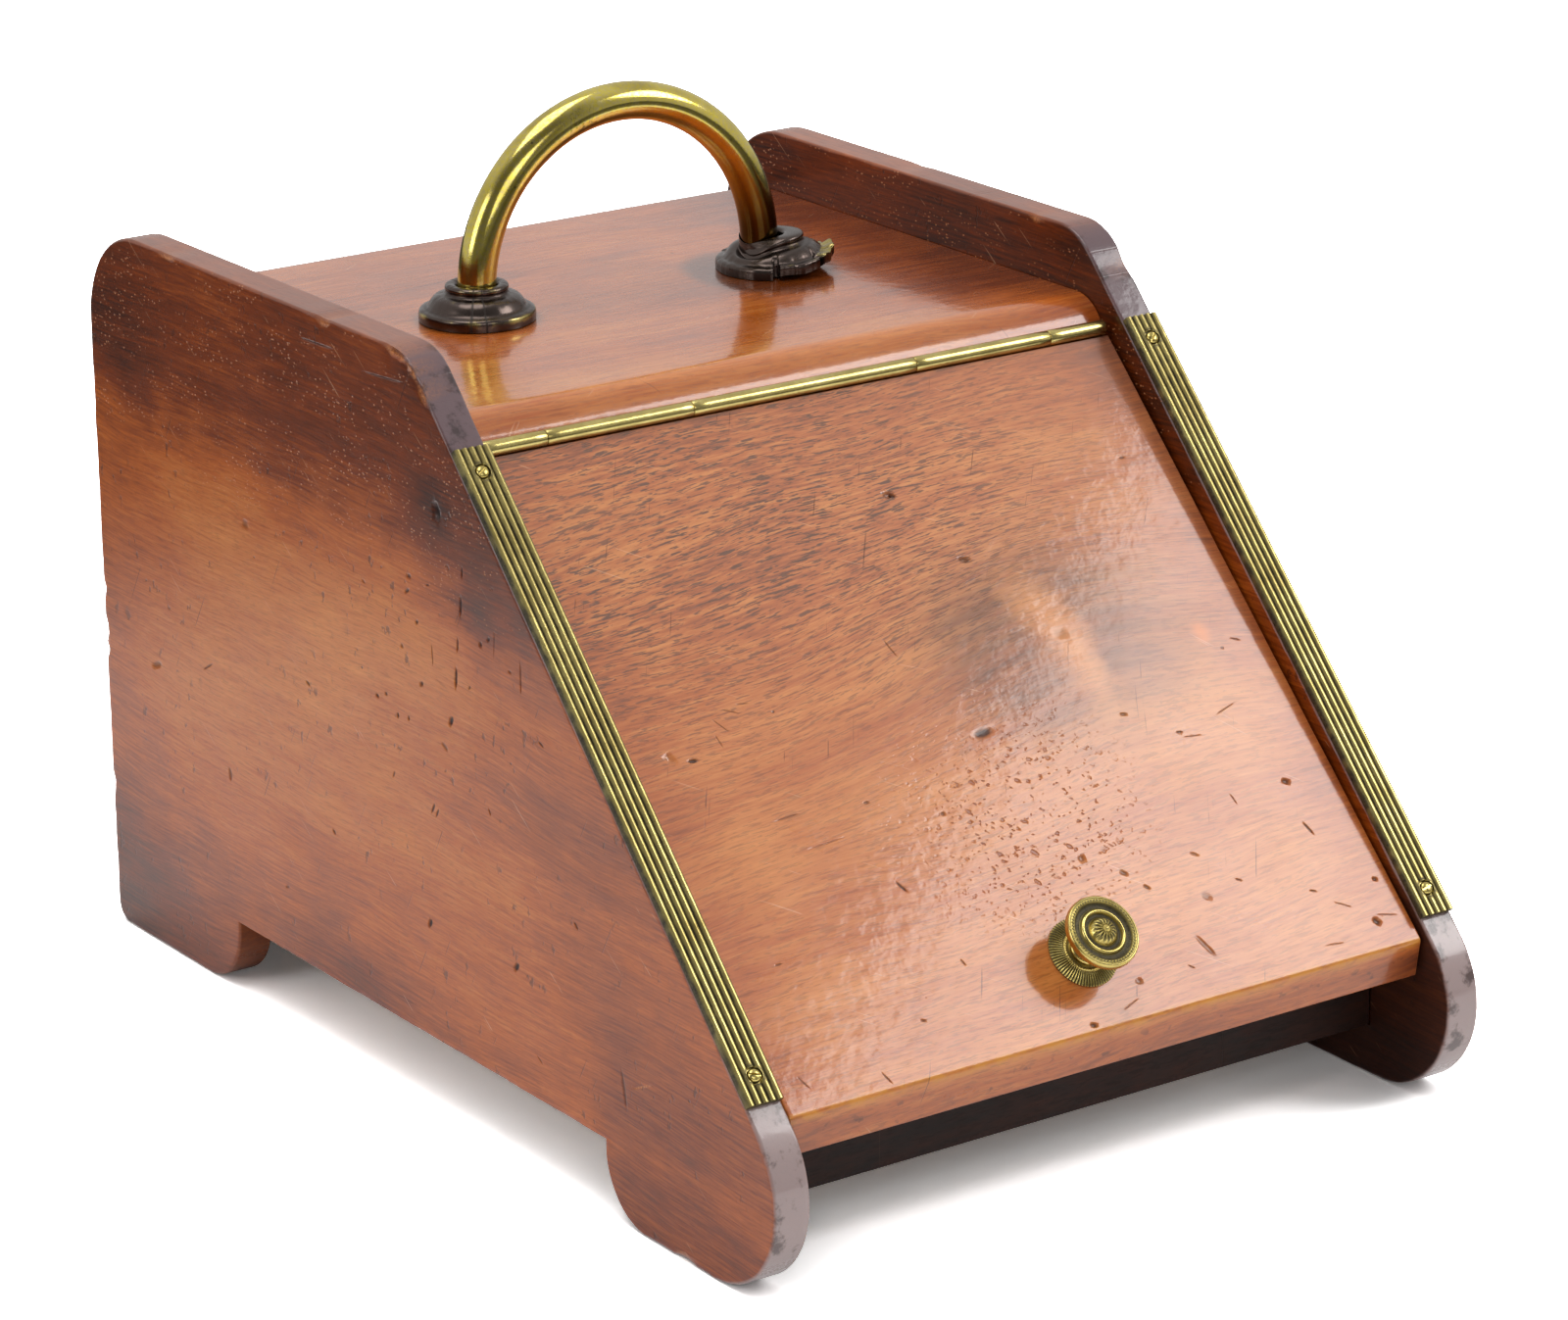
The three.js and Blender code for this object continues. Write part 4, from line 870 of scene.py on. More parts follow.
# marks of a face: (y, z, length, width, angle, depth, dark, pale), where pale is left out when it is 0
left_marks = [
    (-26.8, 252.5, 7.5, 4.6, 70, 1.3, 1.0), (-24.5, 254.5, 22, 14, 60, 0.0, 0.3),
    (-44.3, 232.6, 5, 1.1, 92, 0.35, 0.9), (-42.6, 218.8, 8.5, 1.6, 93, 0.5, 0.95),
    (-39.6, 202.3, 6, 1.4, 94, 0.4, 0.9), (-37.7, 188.3, 9.5, 1.9, 94, 0.6, 1),
    (-4.8, 220.9, 3.4, 2, -10, 0.4, 0.7), (-3, 214.5, 4, 1.6, -35, 0.4, 0.85),
    (-18.6, 220.9, 2.4, 1, -15, 0.3, 0.8), (-9.7, 203.5, 2.6, 1.8, -40, 0.4, 0.85),
    (2.1, 190.7, 2.2, 2, 0, 0.3, 0.6), (-20.7, 193.2, 9, 0.8, 86, 0.25, 0.7),
    (-56.4, 206.8, 2.4, 2.4, 0, 0.5, 0.8), (-62.2, 210.3, 2.4, 1.6, -40, 0.5, 0.9),
    (-66.3, 209.4, 12, 0.6, 95, 0.15, 0.55), (-84.7, 201.1, 14, 1, 90, 0.3, 0.65),
    (-77.1, 201.4, 2.4, 1.4, 0, 0.3, 0.6), (-47.6, 187, 2.4, 1.2, -40, 0.3, 0.7),
    (6.8, 160.7, 1.8, 2.4, 0, 0.5, 0.9), (-1.4, 161.8, 1.6, 2.2, 0, 0.4, 0.8),
    (-33.1, 169.4, 5, 2.6, -62, 0.7, 1), (-28.2, 157.6, 5, 2.2, 25, 0.2, 0.6),
    (-98.1, 178.3, 4, 1.2, 20, 0.3, 0.8), (-13, 79.5, 4.5, 2.4, -60, 0.7, 1.0),
    (-76.6, 81.3, 5, 2.6, -50, 0.7, 1.0), (-11.9, 178.8, 3, 2, -30, 0.5, 0.8),
    (22.2, 164.6, 2.6, 1.8, 0, 0.4, 0.85), (15.3, 167.3, 2.2, 1.6, 0, 0.3, 0.8),
    (-17.9, 129.1, 5.5, 1.4, -60, 0.4, 0.9), (-21, 128, 5, 1.2, -60, 0.3, 0.85),
    (144.8, 96.3, 6, 2.6, 80, 0.4, 0.65), (77, 154.8, 3.4, 1.6, 20, 0.4, 0.8),
    (160, 139.4, 9, 1.1, -30, 0.3, 0.7), (11.3, 134.9, 3.4, 1.2, -60, 0.3, 0.7),
    (123.5, 210.2, 5, 4, 0, 0.2, 0.45), (-163.5, 61, 14, 1.1, -24, 0.3, 0.0, 0.9),
    (-151, 56, 16, 2.2, 78, 0.25, 0.6), (-120, 112, 4, 1.4, 40, 0.3, 0.7), (60, 96, 3, 1.6, 30, 0.3, 0.7),
    (100, 60, 3.6, 1.4, -20, 0.3, 0.6), (-60, 140, 3, 1.2, 60, 0.3, 0.6), (30, 210, 3, 1.4, 20, 0.2, 0.5),
    (-92, 48, 5, 1.0, 30, 0.2, 0.5), (205, 128, 9, 3, -20, 0.5, 0.5), (60, 300, 26, 1.2, -2, 0.3, 0.5),
    (10, 297.5, 30, 1.0, -4, 0.3, 0.55),
]
right_marks = [
    (120, 150, 5, 2.2, 20, 0.6, 0.8), (-30, 110, 9, 1.1, 60, 0.3, 0.7), (60, 220, 4, 3, 0, 0.5, 0.8),
    (-110, 80, 6, 1.4, -40, 0.4, 0.7), (180, 90, 7, 1.2, 80, 0.3, 0.6), (20, 60, 12, 0.9, 12, 0.3, 0.0, 0.7),
    (-60, 170, 4, 2, 30, 0.4, 0.7), (90, 270, 18, 1.0, -3, 0.3, 0.5), (150, 230, 3, 2, 0, 0.4, 0.7),
]
left_chips = [
    (-2, 310.5, 5, 1.6, 0), (-12, 306, 4, 1.3, 0), (-20, 298.4, 3.2, 1.8, 0), (4, 311.5, 3, 1.2, 0),
    (54, 311.5, 3.5, 1.5, 0), (250, 132.4, 2.6, 1.6, 0), (250, 124.3, 2.2, 1.4, 0), (250, 150, 3, 0.9, 0),
    (250, 62, 3, 0.8, 0), (-212, 12, 5, 1.4, 0), (-190, 2, 5, 1.4, 0), (-226, 60, 4, 1.0, 0),
    (180, 311.5, 5, 0.9, 0), (-226, 30, 4, 1.2, 0), (146, 0.4, 4, 1.0, 0),
]
right_chips = [
    (-226, 56, 4, 1.2, 0), (-222, 30, 3.5, 1.2, 1), (-206, 6, 5, 1.3, 1), (-21, 297, 4, 1.2, 1),
    (120, 311.5, 4, 1.0, 1), (250, 200, 4, 1.1, 1), (250, 40, 3, 1.2, 1), (20, 311.5, 3, 0.9, 0),
]


def housings(side):
    """Grooves in a panel's inner face for the tongues of the four boards."""
    spans = [
        (BACK - 28.3, BACK - 15.2, 2.7, TOP_UNDERSIDE), (RAIL_BACK, BACK - 28.0, 41.7, 54.3),
        (BACK - 257.8, BACK - 27.7, 269.2, 280.8),
        (RAIL_FRONT - PLAY, RAIL_BACK + PLAY, RAIL_FOOT - PLAY, below_lid(RAIL_FRONT) + PLAY)]
    a, b = (INNER - 1, INNER + 5) if side > 0 else (-INNER - 5, -INNER + 1)
    return [helper_mesh(*box_shape(a, b, *span)) for span in spans]


panel_left = board(
    "panel_left", panel_outline, -HALF_WIDTH, -INNER, 1.3, mahogany_panel, ["side_panel_left"],
    marks0=left_marks, wear=0.6, chips=left_chips, seed=2.0)
panel_right = board(
    "panel_right", panel_outline, INNER, HALF_WIDTH, 1.3, mahogany_panel, ["side_panel_right"],
    marks1=right_marks, wear=0.6, chips=right_chips, seed=13.0)
for side, panel in ((-1, panel_left), (1, panel_right)):
    cut_with(panel, housings(side))
    weigh(panel)

# ---------------------------------------------------------------- top board, lid, rail

nose_y = BACK - 277.5
back_y = BACK - 15.5


def top_outline():
    """Rounded board whose front is cut square to the lid, with a hollow for the hinge barrel."""
    c, s = cos(LID_ANGLE), sin(LID_ANGLE)

    def from_hinge(y, z):
        dy, dz = y - HINGE[0], z - HINGE[1]
        return dy * c + dz * s, -dy * s + dz * c

    def kept(y, z):
        hy, hz = from_hinge(y, z)
        return hy >= JOINT_FACE and hypot(hy, hz) >= BARREL_RELIEF

    full = rounded([
        (back_y, TOP_UNDERSIDE, 0), (back_y, TOP_Z, 13), (nose_y, TOP_Z, 19), (nose_y, TOP_UNDERSIDE, 0)],
        pitch=5.0)
    points = [p for p in full if kept(*p)]
    # the cut runs between the nose and the underside: find where the joint face meets both
    start = max(range(len(points)), key=lambda i: dist(points[i], points[(i + 1) % len(points)]))
    points = points[start + 1:] + points[:start + 1]
    if points[0][1] < points[-1][1]:
        points.reverse()
    low = (HINGE[0] + (JOINT_FACE - (TOP_UNDERSIDE - HINGE[1]) * s) / c, TOP_UNDERSIDE)
    a0 = atan2(-sqrt(BARREL_RELIEF ** 2 - JOINT_FACE ** 2), JOINT_FACE)
    hy, hz = from_hinge(*points[0])
    turns = [a0 + (atan2(hz, hy) - a0) * k / 6 for k in range(7)]
    arc = [at_hinge(0, BARREL_RELIEF * cos(a), BARREL_RELIEF * sin(a))[1:] for a in turns]
    return points + [low] + arc


top_board = board(
    "board_top", top_outline(), -INNER + PLAY, INNER - PLAY, 0.4, mahogany_top, ["top_board"], seed=5.0)
spigot_bore = lathe([(0, 260), (4.3, 260), (4.3, 290), (0, 290)], 24)
cut_with(top_board, [helper_mesh(*moved(spigot_bore, at_leg(k))) for k in (-1, 1)])
weigh(top_board)

# lid in the hinge frame: (y, z) with y falling down the lid
FACE_Z, LID_HALF, LID_ARRIS = -0.5, 152.5, 0.9
relief_arc = [
    (-BARREL_RELIEF * cos(radians(a)), -BARREL_RELIEF * sin(radians(a)), 0) for a in (52.4, 41, 30, 19)]
lid_section = rounded(
    [(-JOINT_FACE, -14.5, 0.6), *relief_arc, (-3.82, FACE_Z, 0.3), (-291, FACE_Z, 2.6), (-301, -14.5, 0.8)],
    step=radians(9), pitch=7.0)

# marks of the lid's face: (x, down, length, width, angle, depth, dark, pale)
lid_marks = [
    (14.2, 53.8, 5.0, 3.2, 0, 1.1, 0.55, 0.25), (16.2, 54.6, 3.0, 1.8, 40, 0.7, 0.9),
    (33.8, 88.2, 5.4, 2.6, 10, 0.9, 0.6, 0.3), (4.1, 161.6, 9.5, 4.2, -6, 0.25, 0.9),
    (127.8, 212.3, 3.8, 2.8, 30, 0.7, 0.75, 0.2), (127.0, 233.8, 6.5, 1.2, 70, 0.4, 0.8),
    (-62.4, 214.5, 6.0, 1.2, 62, 0.4, 0.85), (-109.0, 139.5, 6, 0.7, 80, 0.15, 0.45),
    (-105.4, 133.2, 8, 0.7, 55, 0.15, 0.5), (-98.5, 128.6, 8, 0.7, 25, 0.15, 0.5),
    (-92.0, 126.6, 6, 0.7, 8, 0.15, 0.45), (18.3, 275.9, 3.4, 2.8, 0, 0.3, 0.5),
    (54.7, 269.4, 12, 2.4, 66, 0.25, 0.5), (114.7, 259.5, 3.2, 1.0, 20, 0.3, 0.7),
    (145.4, 261.6, 2.6, 2.0, 20, 0.5, 0.8), (136.4, 278.7, 4.2, 3.0, 50, 0.7, 0.85),
    (124.8, 268.2, 8, 0.7, 30, 0.2, 0.55), (142.4, 277.1, 10, 0.7, 14, 0.2, 0.55),
    (-140.2, 278.8, 6, 0.8, 62, 0.2, 0.6), (-106.0, 285.7, 6, 0.9, 66, 0.2, 0.65),
    (117.1, 176.1, 11, 0.7, -16, 0.2, 0.55), (138.0, 148.0, 4.6, 0.9, 24, 0.25, 0.6),
    (129.0, 59.3, 3, 1.2, 0, 0.3, 0.7), (-132.5, 142.0, 5, 4, 70, 0.7, 0.1, 0.35),
    (-123.4, 144.8, 4.6, 1.8, 4, 0.6, 0.9), (60, 128, 7, 5, 10, 0.1, 0.25),
    (20, 222, 3.4, 3.4, 0, 0.5, 0.45, 0.1), (91, 181, 3.0, 1.0, 10, 0.3, 0.8), (96, 184, 9, 0.6, 6, 0.2, 0.5),
    (70, 168, 3.4, 1.6, 12, 0.4, 0.6), (100, 214, 5, 0.7, 80, 0.2, 0.6), (-30, 190, 2.2, 2.0, 0, 0.3, 0.6),
    (-96, 176, 11, 0.8, -4, 0.2, 0.5), (-60, 178, 2.6, 1.4, 0, 0.3, 0.6), (-18, 118, 9, 0.8, 74, 0.2, 0.45),
    (-85, 190, 16, 0.8, -4, 0.2, 0.35), (-52, 250, 3, 1.0, 70, 0.3, 0.6), (-80, 268, 2.4, 1.2, 20, 0.3, 0.6),
    (44, 276, 3, 0.8, 40, 0.2, 0.6), (84, 247, 3, 1.0, 30, 0.3, 0.6), (70, 232, 4, 1.4, 30, 0.3, 0.5),
    (66, 250, 5, 3.4, 40, 0.2, 0.4), (35, 232, 4, 2.2, 40, 0.3, 0.6), (42, 240, 3.2, 1.6, 40, 0.3, 0.7),
    (-128, 232, 3, 1.0, 0, 0.3, 0.5), (112, 283, 9, 0.7, 6, 0.2, 0.4), (10, 284, 9, 0.7, -18, 0.2, 0.5),
    (-10, 288, 3.4, 2.2, 20, 0.6, 0.8),
]


def lid_shape():
    """Lid section swept across, its face cut up finely round each mark."""
    turn = ((0, 1), (0.13, 0.5), (0.5, 0.13), (1, 0))
    ends = [(LID_HALF - LID_ARRIS * rise, LID_ARRIS * inset) for rise, inset in turn] + [(LID_HALF - 2.2, 0)]
    normals = normals_of(lid_section)
    count, rings = len(lid_section), 2 * len(ends)
    verts, values = [], {"dark": [], "pale": []}
    for x, d in [(-x, d) for x, d in ends] + ends[::-1]:
        for (y, z), n in zip(lid_section, normals):
            worn = 1 + 0.35 * noise.noise(Vector((x * 0.02, y * 0.05, z * 0.3)))
            verts.append((x, y - n.x * d * worn, z - n.y * d * worn))
            values["dark"].append(0.0)
            values["pale"].append(0.35 if d > 0.05 else 0.0)
    rows = [i for i, (y, z) in enumerate(lid_section) if abs(z - FACE_Z) < 1e-3]
    middle = rings // 2 - 1

    def flat(quad):
        ring, i = divmod(quad[0], count)
        return ring == middle and i in rows and (i + 1) % count in rows

    faces = [quad for quad in rings_to_faces(count, rings) if not flat(quad)] + ends_of(count, rings)
    # the flat face between the two inner rings
    around = [middle * count + i for i in rows] + [(middle + 1) * count + i for i in rows[::-1]]
    low, high = sorted((lid_section[rows[0]][0], lid_section[rows[-1]][0]))
    faces += marked_face(
        [(i, *verts[i][:2]) for i in around], lid_marks, -1,
        lambda u, v: abs(u) < LID_HALF - 2.4 and low + 0.2 < v < high - 0.2, verts, values,
        lambda depth, u, v: (u, v, FACE_Z - depth))
    return [at_hinge(*v) for v in verts], faces, values


lid_verts, lid_faces, lid_values = lid_shape()
lid = new_piece(
    "lid_board", lid_verts, lid_faces, mahogany_lid, "lid", ["lid"], "mahogany", 40, lid_values)
cut_with(lid, [helper_mesh(*moved(lathe([(0, -11), (2.9, -11), (2.9, 2), (0, 2)], 24), at_knob))])
weigh(lid)

rail_outline = rounded([
    (RAIL_BACK, RAIL_FOOT, 0.8), (RAIL_BACK, below_lid(RAIL_BACK), 0.8),
    (RAIL_FRONT, below_lid(RAIL_FRONT), 0.8), (RAIL_FRONT, RAIL_FOOT, 1.2)], step=radians(18), pitch=8.0)
board("rail_front", rail_outline, -INNER + PLAY, INNER - PLAY, 0.4, mahogany_rail, ["front_rail"], seed=8.0)

# ---------------------------------------------------------------- reeded strips and their screws

STRIP_START, STRIP_LENGTH, STRIP_BASE, REED = 46.0, 280.0, 1.4, 1.6
SCREWS_DOWN = (-57.0, -315.0)
SLOT_TURNS = (0.5, -0.35, 0.9, 0.2)


def strip_shape(side):
    """Five round reeds on a thin bar, rubbed along their crests and dark between."""
    pitch, rows = PANEL / 5, 190
    section, hollow = [(-PANEL / 2, PLAY)], [1.0]
    for reed in range(5):
        middle = -PANEL / 2 + (reed + 0.5) * pitch
        for k in range(0 if reed == 0 else 1, 11):
            a = pi * (1 - k / 10)
            section.append((middle + cos(a) * pitch / 2, PLAY + STRIP_BASE + REED * sin(a) ** 0.8))
            hollow.append(max(0.0, 1 - 1.2 * sin(a) ** 4))
    section.append((PANEL / 2, PLAY))
    hollow.append(1.0)
    verts, values = [], []
    for r in range(rows + 1):
        y = -STRIP_START - STRIP_LENGTH * r / rows
        for (x, z), h in zip(section, hollow):
            wave = 0.06 * noise.noise(Vector((x * 0.5, y * 0.03, side * 5.0)))
            dent = 0.12 * noise.noise(Vector((x * 0.9, y * 0.35, side * 9.0)))
            lift = (z - PLAY) / (STRIP_BASE + REED)
            verts.append((side * (HALF_WIDTH - PANEL / 2) + x + wave, y, z - max(0.0, dent) * lift))
            grime = 0.35 * noise.noise(Vector((x * 0.8, y * 0.2, side * 3.0)))
            near = min(hypot(x, y - at) for at in SCREWS_DOWN)
            values.append(clamp(max(min(1.0, (4.6 - near) / 0.9), h + grime * (0.4 + h))))
    count = len(section)
    faces = rings_to_faces(count, rows + 1) + ends_of(count, rows + 1)
    return [at_slope(*v) for v in verts], faces, values


screw_head = smooth_profile([(2.8, 2.05), (2.8, 2.05), (2.78, 2.6), (2.3, 3.5), (1.3, 4.0), (0.0, 4.15)], 4)
screw_shape = lathe([(0.0, -12.3), (0.5, -12.3), (1.4, -9.5), (1.4, 2.05)] + screw_head, 40)
screw_grime = {"hollow": [1.0 if z < 2.7 else 0.0 for x, y, z in screw_shape[0]]}


def at_screw(side, down, turn=0.0):
    """Moves a turned shape about Z to a screw's place on the strip."""
    c, s = cos(turn), sin(turn)
    return lambda x, y, z: at_slope(
        x * c - y * s + side * (HALF_WIDTH - PANEL / 2), x * s + y * c + down, z)


def disc_tool(place, radius, z0, z1):
    return helper_mesh(*moved(lathe([(0, z0), (radius, z0), (radius, z1), (0, z1)], 32), place))


for label, side in (("left", -1), ("right", 1)):
    verts, faces, values = strip_shape(side)
    strip = new_piece(
        f"strip_{label}", verts, faces, brass_strip, "case", [f"reeded_strip_{label}"], "brass", 50,
        {"hollow": values})
    places = [at_screw(side, down) for down in SCREWS_DOWN]
    spot_faces, holes = [[disc_tool(p, *size) for p in places] for size in ((3.4, 1.75, 6), (1.7, -1, 2.5))]
    cut_with(strip, spot_faces + holes)
    for index, down in enumerate(SCREWS_DOWN):
        screw = new_piece(
            f"screw_{label}_{index + 1}", *moved(screw_shape, places[index]), brass_knob, "case",
            [f"strip_screw_{label}_{index + 1}"], "brass", 40, screw_grime)
        slot_place = at_screw(side, down, SLOT_TURNS[(side > 0) * 2 + index])
        cut_with(screw, [helper_mesh(*moved(box_shape(-5, 5, -0.4, 0.4, 3.15, 6), slot_place))])
        shade_smooth(screw.data, 40)

# ---------------------------------------------------------------- hinge


def knuckle(x0, x1):
    """One knuckle of the barrel, its ends eased, bored for the pin."""
    radius, bore, ease = 3.25, 1.75, 0.22
    profile = [
        (bore, x0), (radius - ease, x0), (radius - 0.07, x0 + 0.08), (radius, x0 + ease), (radius, x1 - ease),
        (radius - 0.07, x1 - 0.08), (radius - ease, x1), (bore, x1), (bore, x0)]
    fine = [point for p, q in zip(profile, profile[1:]) for point in cut_up(p, q, 6)]
    verts, faces = lathe(fine + profile[-1:], 48)
    return [(z, y, -x) for x, y, z in verts], faces


def leaf_plate(y0, y1, z0, z1, x0, x1):
    """Thin plate with eased edges."""
    ease = 0.25
    low, high = min(y0, y1), max(y0, y1)
    ring = [
        (low + ease, z0), (high - ease, z0), (high, z0 + ease), (high, z1 - ease), (high - ease, z1),
        (low + ease, z1), (low, z1 - ease), (low, z0 + ease)]
    return [(x, y, z) for x in (x0, x1) for y, z in ring], rings_to_faces(8, 2) + ends_of(8, 2)


def hinge_leaf(name, side, knuckles, body, node):
    near, far = side * 0.25, side * 2.05
    shapes = [leaf_plate(near, far, -12.5, -BARREL_RELIEF, -151, 151)]
    for x0, x1 in knuckles:
        shapes.append(knuckle(x0 + 0.15, x1 - 0.15))
        shapes.append(leaf_plate(near, far, -4.6, -2.6, x0 + 0.15, x1 - 0.15))
    verts, faces = moved(merged(*shapes), at_hinge)
    return new_piece(name, verts, faces, brass_hinge, body, [node], "brass", 35)


hinge_leaf("hinge_fixed", 1, [(-151, -122), (-54, 54), (122, 151)], "case", "hinge_leaf_fixed")
hinge_leaf("hinge_moving", -1, [(-122, -54), (54, 122)], "lid", "hinge_leaf_moving")

# ---------------------------------------------------------------- handle and cups

climb = (BOW_Z - CUP_Z) / 4
bow = [(-HANDLE_X, HANDLE_Y, CUP_Z + climb * k) for k in range(4)]
bow += [(-HANDLE_X * cos(pi * k / 88), HANDLE_Y, BOW_Z + HANDLE_X * sin(pi * k / 88)) for k in range(89)]
bow += [(HANDLE_X, HANDLE_Y, BOW_Z - climb * (k + 1)) for k in range(4)]
spigot = lathe([(0, 254.8), (3.4, 254.8), (4, 255.6), (4, 290), (0, 290)], 32)
verts, faces = merged(tube(bow, 8.0, 56, wobble=0.008), *[moved(spigot, at_leg(k)) for k in (-1, 1)])
new_piece("handle_bow", verts, faces, brass_handle, "case", ["handle"], "brass", 50)

cup_outside = smooth_profile([
    (24.0, 0.0), (24.0, 0.0), (24.1, 1.6), (24.0, 3.4), (23.5, 4.4), (22.4, 4.9), (21.2, 5.2), (20.2, 6.0),
    (19.2, 7.6), (17.8, 9.3), (15.9, 10.3), (14.2, 10.7), (13.2, 11.2), (12.7, 12.1), (13.1, 13.1),
    (12.9, 14.2), (11.9, 14.9), (10.4, 15.0), (9.2, 14.6), (8.5, 13.6)])
cup_inside = smooth_profile([
    (8.5, 13.6), (8.5, 13.6), (8.7, 11.6), (12.4, 9.9), (15.2, 9.0), (17.2, 7.9), (18.4, 6.2), (19.6, 4.4),
    (21.4, 3.9), (22.5, 3.4), (22.9, 2.2), (22.9, 0.0), (22.9, 0.0)])
cup_profile = cup_outside + cup_inside[1:] + [cup_outside[0]]


# the torn flange of the right-hand cup: (from, to) in degrees, lift, reach and curl of each shard in mm
SHARDS = (
    (0, 60, 1.8, 0.2, 0.0), (60, 120, 0.7, 0.0, 0.0), (120, 236, 0.0, 0.0, 0.0), (236, 243, 0.6, -5.0, 0.0),
    (243, 290, 1.9, 0.6, 0.3), (290, 297, 1.0, -1.8, 0.0), (297, 322, 3.0, 1.0, 0.5),
    (322, 345, 4.6, 1.8, 0.5), (345, 360, 2.8, 0.3, 0.0))
SHIFT, SHIFT_WAY = 5.6, (0.819, -0.573)


def dented(a, r, z):
    """Small dents of the left-hand cup."""
    low = max(0.0, (r - 12) / 12)
    wide = noise.noise(Vector((cos(a) * 2.2, sin(a) * 2.2, r * 0.08)))
    fine = noise.noise(Vector((cos(a) * 6.0, sin(a) * 6.0, r * 0.25)))
    return r + 0.22 * wide * low, z + 0.16 * fine * (z > 0.5), a


def torn(a, r, z):
    """The right-hand cup: pushed over to the right, its flange torn into shards that stand up."""
    turn = degrees(a) % 360
    start, end, lift, reach, curl = next(shard for shard in SHARDS if shard[0] <= turn < shard[1])
    part = (turn - start) / (end - start)
    low = clamp((r - 15.5) / 8.5)
    fine = noise.noise(Vector((cos(a) * 5.0, sin(a) * 5.0, r * 0.15 + 3)))
    sharp = noise.noise(Vector((cos(a) * 17.0, sin(a) * 17.0, 5.0)))
    facing = max(0.0, cos(radians(turn - 325)))
    caved = exp(-((turn - 190) / 42) ** 2) * max(0.0, 1 - abs(r - 14) / 8)
    height = z * (1 - 0.5 * caved) + 1.2 * facing * facing * min(1.0, r / 24)
    height += low * low * (lift + curl * sin(9 * part)) + 0.3 * fine * low * (z > 0.5)
    reached = r + low * low * (reach + 0.25 * sharp) + 0.3 * fine * low
    slide = SHIFT * max(0.3, min(1.0, (r - 8) / 4))
    x = reached * cos(a) + slide * SHIFT_WAY[0]
    y = reached * sin(a) + slide * SHIFT_WAY[1]
    return max(8.3 + 0.02 * r, hypot(x, y)), max(0.0, height), atan2(y, x)


def near_to(value, middle, reach):
    """1 at a value, falling straight to 0 a reach away from it."""
    return max(0.0, 1 - abs(value - middle) / reach)


for kind, (label, side) in enumerate((("left", -1), ("right", 1))):
    shape = lathe(cup_profile, 240, (dented, torn)[kind])
    rubbed, hollow = [], []
    for x, y, z in shape[0]:
        r = hypot(x, y)
        edge = near_to(r, 24, 1.4) * near_to(z, 3.6, 2.4)
        ridge = near_to(r, 12.9, 0.8) * near_to(z, 13.8, 1.4)
        patch = noise.noise(Vector((x * 0.12 + kind * 11, y * 0.12, z * 0.2)))
        # rubbed brass on the rim and the ridge; the rise towards +X paints a highlight on the side the key
        # light falls on
        wear = (edge * 1.1 + ridge * 0.4) * (0.35 + 0.9 * max(0.0, x / 24) + patch)
        rubbed.append(clamp(wear + kind * max(0.0, z - 6.0) * (r > 26) * 0.5))
        groove = near_to(r, 21.2, 1.0) * 0.5 + near_to(z, 11.6, 0.9) * 0.5
        round_at = atan2(y, x) % (2 * pi)
        cracks = [exp(-((round_at - at) / width) ** 2) for at, width in ((4.05, 0.02), (4.32, 0.012))]
        hollow.append(clamp(groove * 0.7 + (0.0 if kind else max(cracks))))
    verts = [at_leg(side)(x, y, z + CUP_Z) for x, y, z in shape[0]]
    new_piece(
        f"cup_{label}", verts, shape[1], bronze_cup, "case", [f"handle_cup_{label}"], "aged_brass", 60,
        {"rubbed": rubbed, "hollow": hollow})

# ---------------------------------------------------------------- knob

KNOB_BASE = 3.0


def waves(count, a):
    """A wave between 0 and 1 that runs round a turned shape count times."""
    return 0.5 + 0.5 * cos(count * a)


def knob_beads(a, r):
    return 0.5 + 0.5 * cos(60 * a + (r - 13) * 3.0)


plate_profile = smooth_profile([
    (3.0, 0.3), (3.0, 0.3), (14.2, 0.3), (14.2, 0.3), (14.7, 0.6), (14.6, 1.1), (13.2, 1.8), (11.2, 2.15),
    (9.4, 2.25), (8.9, 2.25), (8.4, 2.7), (7.8, 2.5), (7.3, 2.3), (6.0, 2.6), (3.0, 2.6), (3.0, 2.6),
    (3.0, 0.3)])


def plate_warp(a, r, z):
    """Fine ribs round the plate's rim, and a beaded ring inside them."""
    rib, bead = waves(72, a), waves(48, a) * near_to(r, 8.2, 0.6) * (z > 2)
    down = clamp((r - 8.9) / 0.5) * (z > 0.55) * 0.55 * (1 - rib) + 0.3 * (1 - bead) * (bead > 0)
    return r - 0.22 * (1 - rib) * (r > 14.3 and z > 0.4), z - down, a


def knob_warp(a, r, z):
    """Roping near the knob's rim and flutes on its centre boss."""
    if z < 15:
        return r, z, a
    rope = 0.5 * near_to(r, 13.0, 0.75) * (1 - knob_beads(a, r)) * (z > 18)
    return r, z - rope - 0.75 * near_to(r, 2.9, 2.6) * (z > 18) * (1 - waves(16, a)), a


